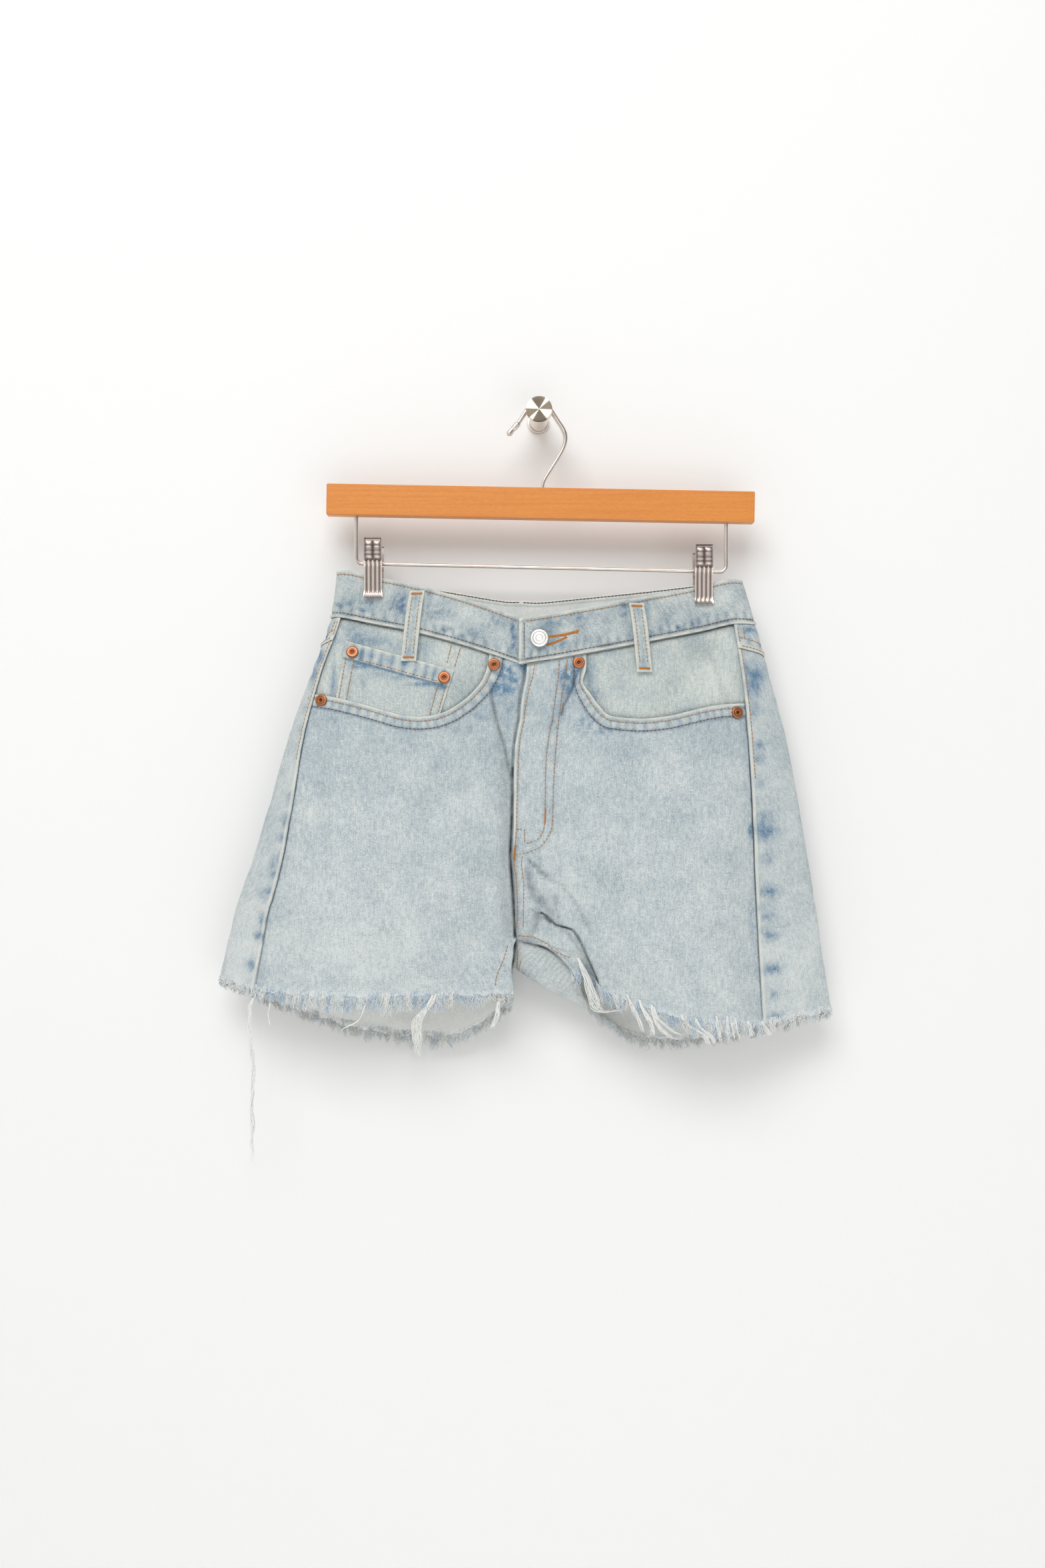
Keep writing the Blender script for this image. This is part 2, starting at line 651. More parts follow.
# %% Meshes to pieces
def mesh_of(name, points, faces, uv=None):
    """A smooth mesh from points in mm, with UVs given a point."""
    mesh = bpy.data.meshes.new(name)
    mesh.from_pydata((points * MM).tolist(), [], faces.tolist())
    mesh.shade_smooth()
    if uv is not None:
        corners = np.empty(len(mesh.loops), np.int32)
        mesh.loops.foreach_get("vertex_index", corners)
        mesh.uv_layers.new(name="UVMap").data.foreach_set("uv", uv[corners].astype(np.float32).ravel())
    return mesh


def set_values(mesh, values):
    """Store one number a point under each name."""
    for key, numbers in values.items():
        made = mesh.attributes.new(key, "FLOAT", "POINT")
        made.data.foreach_set("value", np.ascontiguousarray(numbers, np.float32).ravel())


def add_piece(name, mesh, finishes, nodes):
    """Link a piece, let it ride on the body and stand for its CAD nodes."""
    made = bpy.data.objects.new(name, mesh)
    scene.collection.objects.link(made)
    for finish in finishes:
        mesh.materials.append(finish)
    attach(made, "root")
    if nodes:
        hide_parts(*nodes)
    return made


MARKS = ("blue", "worn", "frayed", "shade", "wash")
EDGE_ROUND = 0.3                     # how far an edge is rounded, as a share of the thickness


def shell(part, outer, thickness, finishes, turn=1, marks=None, grain=None, stands_for=None):
    """A closed piece of cloth from the grid of its outer face; grain gives its weave coordinates."""
    name, (rows, columns) = "denim_" + part, outer.shape[:2]
    normal = unit(np.cross(np.gradient(outer, axis=1), np.gradient(outer, axis=0))) * turn
    rounded = np.zeros((rows, columns, 1))
    rounded[[0, -1]] = rounded[:, [0, -1]] = EDGE_ROUND
    face = outer - normal * thickness * rounded
    points, faces = closed(face, outer - normal * thickness * (1 - rounded), turn)
    metres = cloth_metres(outer)
    weave = metres if grain is None else grain
    mesh = mesh_of(name, points, faces, np.tile(weave.reshape(-1, 2), (2, 1)))
    for key in MARKS:
        numbers = np.broadcast_to((marks or {}).get(key, 0.0), (rows, columns))
        kept = numbers if key == "wash" else np.clip(numbers, 0, 1)
        set_values(mesh, {key: np.tile(kept.ravel(), 2)})
    made = add_piece(name, mesh, finishes, [stands_for or part])
    quads = grid_quads(rows, columns)
    if len(finishes) > 1:
        side = np.zeros(len(faces), np.int32)
        side[len(quads):2 * len(quads)] = 1
        mesh.polygons.foreach_set("material_index", side)


# %% [markdown]
# ## Washed denim
# Denim is a 3/1 cotton twill: blue warp threads run down the panel over white weft threads. Stone washing
# rubs the blue off wherever the cloth stands up, so what is left is a pale grey-blue with soft clouds,
# fine vertical streaks where warp threads are thicker, and dark blue only in sheltered spots beside seams.
# Cotton is matt, with a faint fuzz that catches light at grazing angles.
#
# A 12 oz denim has about 26 warp threads to the centimetre, so a twill line comes every 1.2 mm across.
# A single 0.4 mm thread is finer than a pixel, so the streaks are drawn about three threads wide.

# %% Denim
TWILL_MM = 1.2                       # spacing of the twill lines across the cloth
STREAK_MM = (1.0, 10.0)              # width and length of a warp streak, drawn three threads wide
CLOUD_MM = 26.0                      # size of the wash's soft clouds
MOTTLE_MM = 3.4                      # size of the small faded flecks
GRAIN_MM = 1.0                       # salt and pepper of single crossings, drawn three threads wide


RUBBED_CREAM, FRAYED_WHITE, CREASE_DARK = "#DEDFD5", "#E2E9EC", "#20282D"


def denim(name, pale="#D9DEDD", faded="#9EADB4", dark="#567D9C"):
    """Stone-washed cotton twill, coloured by the five numbers that the mesh carries."""
    made, tree, shader = new_finish(name, Roughness=0.9, Specular_IOR_Level=0.2, Sheen_Weight=0.1,
                                    Sheen_Roughness=0.5)
    place = node(tree, "UVMap", {"uv_map": "UVMap"})

    def noise(size_across, size_along, detail, seed):
        scale = node(tree, "Mapping", sockets={"Vector": place, "Location": (seed, seed, 0),
                                               "Scale": (1000 / size_across, 1000 / size_along, 1)})
        return node(tree, "TexNoise", {"noise_dimensions": "2D"},
                    {"Vector": scale, "Scale": 1.0, "Detail": detail})

    def weigh(value, share, offset, plus=None):
        total = node(tree, "Math", {"operation": "MULTIPLY_ADD"}, {0: value, 1: share, 2: offset})
        return node(tree, "Math", {"operation": "ADD"}, {0: total, 1: plus}) if plus else total

    def mixed(share, first, second):         # the node keeps its share between 0 and 1
        return node(tree, "Mix", {"data_type": "RGBA"}, {0: share, 6: first, 7: second}).outputs[2]

    streak = noise(*STREAK_MM, 3.0, 3.1)
    weft = noise(STREAK_MM[1] * 0.4, STREAK_MM[0], 2.0, 8.4)
    cloud = noise(CLOUD_MM, CLOUD_MM * 1.6, 3.0, 1.7)
    mottle = noise(MOTTLE_MM, MOTTLE_MM * 1.3, 2.0, 5.2)
    grain = noise(GRAIN_MM, GRAIN_MM * 1.4, 1.0, 6.6)
    blue, worn, frayed, shade, wash = (
        node(tree, "Attribute", {"attribute_name": key}).outputs["Fac"] for key in MARKS)
    fade = weigh(cloud, 0.36, -0.08, weigh(streak, 0.8, -0.40, weigh(weft, 0.35, -0.17, weigh(
        mottle, 0.7, -0.20, weigh(grain, 1.0, -0.30, wash)))))
    patches = weigh(mottle, 0.7, 0.12, weigh(grain, 0.75, 0.0))
    flecks = weigh(mottle, 1.0, 0.0, weigh(grain, 0.8, 0.0))
    patchy = node(tree, "Math", {"operation": "MULTIPLY"}, {0: blue, 1: patches})
    rubbed = node(tree, "Math", {"operation": "MULTIPLY"}, {0: worn, 1: flecks})
    body = mixed(fade, linear(pale), linear(faded))
    for share, colour in ((patchy, dark), (rubbed, RUBBED_CREAM), (shade, CREASE_DARK), (frayed, FRAYED_WHITE)):
        body = mixed(share, body, linear(colour))
    tree.links.new(body, shader.inputs["Base Color"])
    # A wave texture repeats every 2 pi / 10 of its scaled coordinate, hence the factor.
    steep = node(tree, "Mapping", sockets={"Vector": place, "Scale": (1.0, 0.55, 1)})
    twill = node(tree, "TexWave", {"bands_direction": "DIAGONAL"}, {
        "Vector": steep, "Scale": 2 * math.pi / 10 / (TWILL_MM * MM), "Distortion": 1.2, "Detail": 1.0,
        "Detail Scale": 0.4})
    height = weigh(twill.outputs["Fac"], 0.5, 0.0, weigh(streak, 0.9, 0.0, weigh(grain, 1.1, 0.0)))
    relief = node(tree, "Bump", sockets={"Height": height, "Strength": 0.5, "Distance": 0.0004})
    tree.links.new(relief.outputs[0], shader.inputs["Normal"])
    return made


OUTSIDE = denim("stone_washed_denim")
INSIDE = denim("denim_weft_side", pale="#FAFBF7", faded="#E2E7E5", dark="#C6D1D6")
BAND_DENIM = denim("waistband_denim", pale="#D3D8D5", faded="#95A4AA", dark="#537491")
TRIM_DENIM = denim("facing_denim", pale="#D8DDD8", faded="#A2AEAF")
print("denim finishes:", [made.name for made in (OUTSIDE, INSIDE, BAND_DENIM, TRIM_DENIM)])

# %% [markdown]
# ## Where the seams run
# A felled seam folds two raw edges into each other, so it stands up as a narrow ridge. Washing shrinks the
# cotton but not the sewing thread, so the cloth beside every seam puckers: its crests lose their blue and
# turn cream, its hollows stay dark. These tables say where the seams are and which spots kept their blue:
# each spot has its x and z, its half sizes and its strength.

# %% Seam lines and spots
SCOOPS = {
    "right": ((-41.5, -190), (-42, -208), (-44, -219), (-49, -230), (-60, -242), (-74, -251.5), (-86, -256),
              (-100, -257.5), (-116, -255.5), (-138, -249), (-155, -244.5), (-172, -240.5), (-200, -236)),
    "left": ((38.8, -190), (39.1, -208), (39.6, -222), (41.5, -235), (47.5, -246.5), (58, -256.5), (83, -259),
             (105, -257), (122, -253), (139, -249), (156, -246.5), (185, -245)),
}
J_INNER = (
    (16.4, -210), (14.7, -227), (13.3, -238), (11.9, -249), (10.6, -260), (8.4, -271), (7.0, -282), (5.9, -293),
    (5.1, -315), (4.8, -337), (4.2, -348), (2.6, -353.7), (-0.2, -358), (-5.1, -360.8), (-16, -363.6),
    (-19.9, -364.7))
J_OUTER = (
    (23.0, -210), (21.0, -227), (18.8, -238), (17.4, -249), (15.8, -260), (14.7, -271), (13.9, -282),
    (12.2, -304), (11.4, -326), (10.6, -348), (8.6, -353.7), (5.9, -359), (1.5, -364.7), (-4.6, -368),
    (-10.6, -370), (-19.4, -371.3))
BAND_SPOTS = (
    (-170, -163, 6, 2, .5), (-160, -162, 3, 3, .4), (-147, -167, 6, 2, .5), (-142, -161, 8, 2, .5),
    (-117, -159, 7, 6, .6), (-122, -166, 7, 3, .5), (-114, -165, 3, 8, .8), (-91, -155, 3, 14, .7),
    (-85, -174, 11, 4, .45), (-77, -185, 7, 3, .5), (-66, -191, 4, 3, .5), (-55, -188, 6, 3, .5),
    (-83, -167, 14, 6, .3), (-30, -177, 10, 7, .35), (-21, -193, 3, 17, .6), (-44, -180, 11, 6, .3),
    (12, -197, 4, 3, .55), (20, -198, 3, 4, .7), (31, -197, 3, 3, .5), (39, -194, 3, 3, .4), (3, -203, 4, 3, .5),
    (12, -181, 9, 3, .4), (24, -176, 9, 3, .35), (4, -187, 9, 3, .35), (70, -168, 3, 11, .7), (73, -160, 3, 8, .6),
    (50, -177, 14, 6, .25), (34, -174, 14, 4, .3), (106, -177, 8, 4, .35), (117, -182, 4, 3, .5),
    (131, -179, 4, 3, .5), (106, -186, 11, 3, .35), (145, -185, 6, 3, .4), (161, -179, 6, 3, .45),
    (139, -171, 8, 3, .3), (92, -190, 6, 3, .5), (89, -172, 3, 14, .5), (-130, -185, 9, 2, .3),
)
FACING_SPOTS = ((-158, -182, 8, 4, .35), (-152, -190, 6, 6, .4), (-138, -193, 16, 5, .5), (-116, -199, 14, 6, .5),
                (-172, -190, 3, 6, .5), (-172, -233, 3, 9, .8), (-171, -219, 2, 10, .5), (-96, -199, 7, 6, .25),
                (-60, -214, 6, 10, .2), (42, -222, 5, 12, .6), (46, -238, 5, 6, .4), (60, -203, 12, 3, .3))
COIN_SPOTS = ((-148, -206, 5, 5, .8), (-144, -214.5, 15, 2.6, .8), (-139, -206, 4, 3, .5), (-126, -210, 4, 3.5, .7),
              (-112, -213, 6, 3, .8), (-99, -219, 3, 4, .4), (-90, -222, 6, 4, .5), (-133, -221, 9, 4, .45),
              (-116, -225, 8, 2, .5), (-95, -230.5, 12, 2, .9), (-80, -234, 5, 2, .9), (-146, -228, 3, 10, .35))
FRONT_SPOTS = {
    "right": ((-33.5, -234, 8, 6.5, .95), (-30, -222, 6, 5, .7), (-25, -228, 7, 8, .6), (-17, -219, 4.5, 4, .85),
              (-24, -216, 9, 3, .6), (-66, -268, 13, 4, .35), (-49, -257, 6, 4, .4), (-170, -260, 4, 4, .4),
              (-84, -295, 10, 14, .2), (-24, -255, 5, 26, .24)),
    "left": ((22, -224, 7, 7, .8), (29, -222, 7, 8, .95), (24, -234, 6, 7, .7), (12, -222, 4, 5, .35),
             (38, -262, 8, 8, .45), (52, -270, 10, 5, .4), (-8, -390, 4, 16, .25), (12, -262, 8, 12, .2),
             (0, -412, 6, 10, .25), (176, -352, 3, 7, .9), (176, -420, 3, 30, .25)),
}
SIDE_SPOTS = {
    "right": ((-184, -207, 4, 8, .7), (-182, -190, 4, 4, .6), (-188, -222, 4, 8, .6), (-177, -182, 3, 4, .5),
              (-194, -250, 4, 5, .35), (-196, -268, 5, 5, .5), (-196, -283, 4, 4, .45), (-206, -325, 5, 4, .75),
              (-209, -344, 5, 4, .8), (-212, -357, 6, 4, .7), (-218, -378, 6, 7, .6), (-220, -388, 5, 4, .6),
              (-226, -404, 7, 5, .55), (-228, -426, 5, 5, .8), (-231, -439, 6, 5, .85), (-239, -463, 5, 5, .6)),
    "left": ((181, -221, 9, 8, .85), (178, -234, 7, 6, .7), (172, -226, 3, 18, .5), (176, -184, 8, 4, .55),
             (180, -250, 5, 5, .5), (183, -283, 5, 4, .8), (184, -293, 5, 3, .5), (184, -311, 4, 3, .35),
             (187, -341, 7, 4, .7), (187, -351, 9, 4, .95), (187, -360, 6, 3, .5), (189, -376, 6, 5, .6),
             (192, -403, 8, 5, .75), (190, -422, 6, 4, .45), (192, -439, 7, 5, .6), (194, -467, 8, 5, .65),
             (194, -488, 5, 4, .4), (196, -506, 8, 4, .5)),
}
# Smaller creases that the plain solids leave out: half, face, ends, height and half width.
FOLDS = (
    ("right", "front", -38, -250, -31, -277, -0.9, 2.6), ("right", "front", -31, -277, -25, -300, -0.8, 2.2),
    ("right", "front", -84, -332, -99, -372, -0.9, 5), ("right", "front", -74, -300, -86, -335, -0.7, 4),
    ("right", "front", -60, -278, -74, -320, 0.8, 7), ("right", "front", -50, -400, -66, -470, 0.9, 6),
    ("right", "front", -120, -440, -150, -470, -0.5, 9), ("right", "front", -160, -300, -175, -380, 0.6, 12),
    ("left", "front", -5, -379, 7, -389, -1.3, 1.8), ("left", "front", 7, -389, 24, -400, -0.8, 3.5),
    ("left", "front", 2, -388, 22, -402, 0.8, 3.0), ("left", "front", 24, -400, 37, -424, -0.6, 2.6),
    ("left", "front", -4, -400, 5, -412, -1.1, 3.2), ("left", "front", 5, -412, -1, -432, -1.1, 4),
    ("left", "front", 12, -400, 16, -424, 0.9, 2.6), ("left", "front", 33, -414, 42, -433, -0.7, 2.0),
    ("left", "front", 60, -380, 78, -410, -0.5, 5), ("left", "front", 34, -448, 52, -478, 0.8, 4),
    ("left", "front", 80, -420, 112, -495, 0.8, 6), ("left", "front", 46, -275, 50, -330, 0.5, 7),
    ("left", "front", 9, -431, 24, -447, 0.8, 5), ("left", "front", 150, -300, 158, -380, 0.5, 10),
    ("right", "back", -40, -330, -60, -450, 1.1, 6), ("right", "back", -130, -400, -150, -500, 1.0, 8),
    ("right", "back", -200, -380, -225, -440, -0.8, 9), ("right", "back", -80, -460, -120, -515, -1.0, 6),
    ("left", "back", 20, -330, 45, -450, 1.0, 6), ("left", "back", 100, -400, 118, -500, 1.0, 8),
    ("left", "back", 185, -380, 205, -460, -0.8, 9), ("left", "back", 70, -450, 110, -515, -1.0, 6),
)
print(len(FOLDS), "small folds;", len(BAND_SPOTS) + len(COIN_SPOTS), "spots on the band and coin pocket")

# %% [markdown]
# The surface gives the seams' own lines, and these tables the sharp folds that hold a shadow. Wear has also
# pulled a few edges sideways: the fly's, the left pocket's mouth, and the right front at the inseam, where
# it laps over the back.

# %% Lines, sharp folds and edges pulled aside
def column_line(half, column):
    """One column of the surface as a line in x and z."""
    return cloth(half, column, spread(0, HEM, 61))[:, [0, 2]]


CENTRE_LINES = {(half, back): column_line(half, LAST if back else 0) for half in SIDES for back in (False, True)}
SIDE_LINES = {half: column_line(half, SEAM) for half in SIDES}
# Half width, depth, darkness, then the line in x and z.
SHADED_FOLDS = {
    "right": (
        (1.2, 1.1, 0.55, ((-40.3, -236), (-38.1, -249), (-33.7, -266), (-28.7, -282), (-25.4, -299),
                          (-22.7, -310))),
        (1.2, 1.0, 0.55, ((-17.5, -214), (-17, -227), (-18, -238), (-18.3, -249), (-17.4, -260), (-19.3, -271),
                          (-21.2, -282), (-22, -293), (-22.1, -305))),
        (1.4, 1.6, 0.95, ((-21.9, -300), (-22.1, -315), (-22.7, -348), (-23.8, -370), (-23.3, -381),
                          (-21.6, -403), (-20.3, -425), (-20, -440))),
        (6.0, 0.6, 0.20, ((-26, -300), (-28, -330), (-29, -370), (-28, -400), (-25, -436))),
    ),
    "left": (
        (1.1, 1.6, 0.95, ((1.5, -419.6), (5.9, -422.4), (9.7, -425.7), (13.6, -429.5), (21.3, -431.2),
                          (26.8, -432.8), (30.6, -437.2), (36.1, -447.7), (42.2, -462), (47.1, -473.5),
                          (49.3, -483))),
        (2.2, 0.8, 0.95, ((5.5, -422.6), (9.5, -426.2))),
        (1.5, 1.0, 0.50, ((-6.7, -377.4), (-0.2, -383.4), (5.9, -388.8))),
        (1.8, 0.6, 0.20, ((5.9, -388.8), (19.6, -397.6), (27.9, -408.6), (36, -422.4), (43, -436))),
        (3.6, 1.4, 0.36, ((-7.9, -386.6), (-6.2, -397.6), (-3.5, -405.9), (1.5, -409.7), (5.9, -415.2),
                          (9.2, -419.6))),
        (3.0, 0.9, 0.30, ((-0.7, -416.9), (-0.7, -425.1), (-3.5, -433.4), (-6.8, -436.1))),
        (2.0, 0.8, 0.26, ((12.5, -405.9), (14.1, -414.1), (15.8, -422.4))),
        (1.3, 1.0, 0.60, ((31.2, -224.5), (26.8, -235.5), (22.4, -243.7), (19.6, -249.2), (18, -256))),
    ),
}
# How far the fly's edge, and the right front at the inseam, are pulled at each height, from the hem up.
FLY_EDGE = ((-440, -425, -403, -370, -348, -326, -304, -282, -271, -260, -249, -238, -227, -215),
            (0, -1.0, -1.2, -1.9, -0.4, 0, -1.2, -1.4, -0.2, 1.5, 1.7, 3.1, 5.8, 6.7))
RIGHT_LAP = ((-490, -480, -469, -458, -446), (16, 13, 7.7, 4.4, 0))
MIDDLE_FADE = 0.35                   # pulls fade out this far from the centre front, in columns


def pulled_aside(half, points, across):
    """How far wear has pulled a front's edges sideways."""
    near_middle = np.exp(-(across / MIDDLE_FADE) ** 2)
    z = points[..., 2]
    if half == "right":
        return near_middle * (np.interp(z, (-262, -215), (0.0, 6.0)) + np.interp(z, *RIGHT_LAP))
    mouth = off_line(points, SCOOPS["left"])
    return near_middle * np.interp(z, *FLY_EDGE) - 4.0 * np.exp(-((z + 229) / 8) ** 2 - (mouth / 9) ** 2)


def inside_j(points):
    """1 between the fly's edge and the J stitch, 0 outside."""
    z = points[..., 2]
    reach = np.interp(-z, [-p[1] for p in J_INNER[:-1]], [p[0] for p in J_INNER[:-1]])
    return (0.5 + 0.5 * np.tanh((reach - points[..., 0]) / 1.2)) * (0.5 + 0.5 * np.tanh((z + 362) / 1.5))


print("side seams end at x", [round(float(line[-1, 0])) for line in SIDE_LINES.values()], "mm")

# %% [markdown]
# Relief is what sewing adds to the plain surface, in tenths of a millimetre: the rolled edge of a pocket
# mouth, the groove that a stitch row pulls, the puckered strip between two rows. One function does it for
# the panels, and the stitches ask it too, so that every stitch sits exactly in its groove. It is a sum of
# soft ridges, each with its distance from a seam, its half width and its height, and the blue, the worn
# cream and the shade are sums of the same kind.

# %% Relief of the fronts
MOUTH_ROWS = (4.0, 10.4)             # stitch rows below the pocket mouth's edge
EDGE_ROW = 3.4                       # stitch row beside the fly's edge
WAIST_ROW_MM, HEM_ROW_MM, YOKE_ROW_MM = 38.0, 29.0, 45.0     # length of one row of the net there


def hang(half, points, across, down, seed):
    """What every panel has: a ragged hem, small folds and slight unevenness, as lift, blue and frayed."""
    ragged = np.exp(-((HEM - down) * HEM_ROW_MM / 4.0) ** 2)
    lift = ragged * 0.5 * uneven(points, 2.6, 4) + crease_height(half, points, across, FOLDS)
    lift += 0.22 * uneven(points, 17.0, seed) + 0.14 * uneven(points, 7.0, seed + 1)
    return lift, 0.06 * uneven(points, 22.0, 3) + 0.03, ragged * (0.45 + 0.35 * uneven(points, 2.2, 5))


def fly_relief(points, down, patchy):
    """The left fly: its rolled edge, the step of the facing and the two J rows."""
    above = np.clip((points[..., 2] + 375) / 25, 0, 1)
    centre = off_line(points, CENTRE_LINES["left", False])
    lift = ridge(centre, 1.0, 1.3, 0.5) + ridge(centre, EDGE_ROW, 0.8, -0.35) + 0.45 * inside_j(points)
    worn = ridge(centre, 0.7, 1.25, 0.95) * above * patchy
    below_fly = ridge(centre, 0, 3.6, 0.42) * (1 - above) * (down < CROTCH)
    shade = np.maximum(ridge(centre, EDGE_ROW, 0.9, 0.16), below_fly)
    shade = np.maximum(shade, ridge(centre, 0, 1.3, 0.6) * (down > CROTCH - 0.2))
    blue = 0
    for line in (J_INNER, J_OUTER):
        near = off_line(points, line)
        lift += ridge(near, 0, 0.9, -0.35)
        blue = blue + ridge(near, 1.4, 1.6, 0.10)
        shade = np.maximum(shade, ridge(near, 0, 0.9, 0.16))
    return lift, blue, worn, shade


def front_relief(half, points, across, down):
    """Sewn relief and the five marks of a front."""
    lift, blue, frayed = hang(half, points, across, down, 21)
    x, z = points[..., 0], points[..., 2]
    patchy = 0.8 + 0.3 * uneven(points, 6.0, 16)
    # The pocket mouth: a rolled edge, two grooves and the puckered cloth between them.
    mouth, along = from_line(points, SCOOPS[half])
    first, second = MOUTH_ROWS
    between = np.exp(-((mouth - (first + second) / 2) / 3.3) ** 4)
    waves = pucker(along, 7.2, 1.3 + SIDES[half])
    lift += ridge(mouth, 1.3, 1.4, 0.7) + ridge(mouth, first, 0.8, -0.45) + between * (0.2 + 0.42 * waves)
    lift += ridge(mouth, second, 0.9, -0.6) + ridge(mouth, second + 2.5, 2.5, 0.25) * pucker(along, 5.5, 0.4)
    blue = blue + between * np.clip(-waves, 0, 1) * 0.35
    blue += ridge(mouth, second + 1.2, 1.3, 0.35) + ridge(mouth, first, 0.9, 0.2)
    worn = (ridge(mouth, 0.7, 1.4, 1.0) + between * np.clip(waves, 0, 1) * 0.4) * patchy
    shade = ridge(mouth, second + 0.4, 1.0, 0.34) + ridge(mouth, first, 0.8, 0.14)
    shade += ridge((down - WAIST) * WAIST_ROW_MM, 0.5, 1.3, 0.6)
    spots = spotted(points, FRONT_SPOTS[half]) * (1 + 0.45 * uneven(points, 3.2, 15))
    blue += np.clip((spots - 0.10) / 0.78, 0, 1)
    fold_shade = 0.95 + 0.15 * uneven(points, 6.0, 41)
    for width, depth, dark, line in SHADED_FOLDS[half]:
        near = off_line(points, line)
        lift += ridge(near, 0, width * 1.2, -depth)
        shade = np.maximum(shade, ridge(near, 0, width, dark) * fold_shade)
    if half == "left":
        fly = fly_relief(points, down, patchy)
        lift, blue, worn, shade = lift + fly[0], blue + fly[1], worn + fly[2], np.maximum(shade, fly[3])
    else:
        lapped = np.interp(z, *RIGHT_LAP) * np.exp(-(across / MIDDLE_FADE) ** 2)
        lift += 1.5 * np.clip(lapped / 3, 0, 1)
    # The side seam is a groove here, because its felled ridge lies on the back.
    side, run = from_line(points, SIDE_LINES[half])
    lift += ridge(side, 0, 1.5, -0.7) + ridge(side, 4.0, 3.0, 0.25) * pucker(run, 9.0, 0.7)
    blue += ridge(side, 0.2, 1.2, 0.5) + ridge(side, 3.5, 3.0, 0.10)
    shade = np.maximum(shade, ridge(side, 0, 0.9, 0.3))
    # The wash is darker under the pockets and paler low on the thigh.
    wash = 0.18 * np.exp(-((z + 262) / 38) ** 2)
    wash += 0.05 * uneven(points, 30.0, 17) + 0.07 * uneven(points, 9.0, 18)
    thigh = 0.30 if half == "right" else 0.105
    wash -= thigh * np.exp(-((np.abs(x) - 140) / 60) ** 2 - ((z + 452) / 45) ** 2)
    return lift, blue, worn, frayed, shade, wash


test = front_relief("right", cloth("right", *np.meshgrid(spread(0, 4, 20), spread(2, 9, 20))),
                    *np.meshgrid(spread(0, 4, 20), spread(2, 9, 20)))[0]
print("the front's relief runs from %.1f to %.1f mm" % (test.min(), test.max()))

# %% [markdown]
# On the backs the felled seams stand up: the side seam's ridge turns to the front, and the centre back seam
# runs down to the crotch. Below it only the inner face of the leg shows, where stretched cloth has fine
# slanting ripples and the seam's end makes a dark knot.

# %% Relief of the backs and yokes, and any piece dressed
def back_relief(half, points, across, down):
    """Sewn relief and the five marks of a back or a yoke."""
    lift, blue, frayed = hang(half, points, across, down, 23)
    right = half == "right"
    patchy = 0.8 + 0.3 * uneven(points, 6.0, 19)
    # The side seam, with the spots beside it that kept their blue.
    side, run = from_line(points, SIDE_LINES[half])
    side = np.where(across < SEAM + 2, side, 99.0)
    waves = pucker(run, 12.5, 2.0 + SIDES[half])
    lift += ridge(side, 1.8, 1.5, 0.8) + ridge(side, 8.0, 4.5, 0.45) * waves
    spots = spotted(points, SIDE_SPOTS[half]) * (across < SEAM + 1.5)
    blue = blue + spots * (1.25 + 0.45 * uneven(points, 3.5, 12))
    crests = ridge(side, 7.5, 4.0, 0.3) * np.clip(0.3 + waves, 0, 1) * (1 - spots)
    worn = (ridge(side, 1.6, 1.25, 0.95) + crests) * patchy
    # The centre back seam, and below it the part in sight between the legs.
    centre, run = from_line(points, CENTRE_LINES[half, True])
    centre = np.where(across > FOLD - 2.5, centre, 99.0)
    below = np.clip((down - 7.3) / 0.5, 0, 1)
    in_sight = below * np.clip((across - FOLD) / 0.25 + 1, 0, 1)
    ropes = pucker(run, 11.0, 0.9)
    along_hem = 0.79 * SIDES[half] * points[..., 0] - 0.61 * points[..., 2] + 0.7 * uneven(points, 9.0, 25)
    ripples = np.sin(2 * math.pi * along_hem / 3.9) * np.exp(-((centre - 12) / 10) ** 2) * in_sight
    lift += (ridge(centre, 2.2, 2.4, 0.7) + ridge(centre, 8.0, 4.0, 0.35) * ropes) * (1 - below) + 0.42 * ripples
    blue += ridge(centre, 7.5, 3.0, 0.6) * np.clip(-ropes, 0, 1) * (1 - below)
    crests = ridge(centre, 7.0, 3.0, 0.3) * np.clip(ropes, 0, 1)
    worn += (ridge(centre, 2.0, 2.4, 0.8) + crests) * (1 - below) * patchy
    seam_dark = (0.55 + 0.35 * np.sin(points[..., 0] / 7.0 + 1.2)) * (0.5 if right else 1.0)
    shade = below * (ridge(centre, 0.4, 1.7, 1.0) * seam_dark + ridge(centre, 0, 9.0, 0.22 if right else 0.08))
    shade += spotted(points, ((-20.5, -446, 2.2, 9, 0.75), (-21, -462, 2.6, 7, 0.85))) * in_sight
    wash = 0.06 * uneven(points, 30.0, 26) + 0.07 * uneven(points, 9.0, 27) + 0.42 * ripples
    return lift, blue, worn, frayed, shade, wash - 0.2 * below - (0.06 if right else 0)


def yoke_row(across):
    """Row of the yoke seam at a place round the back."""
    return 1.42 + 0.93 * (across - SEAM) / (LAST - SEAM)


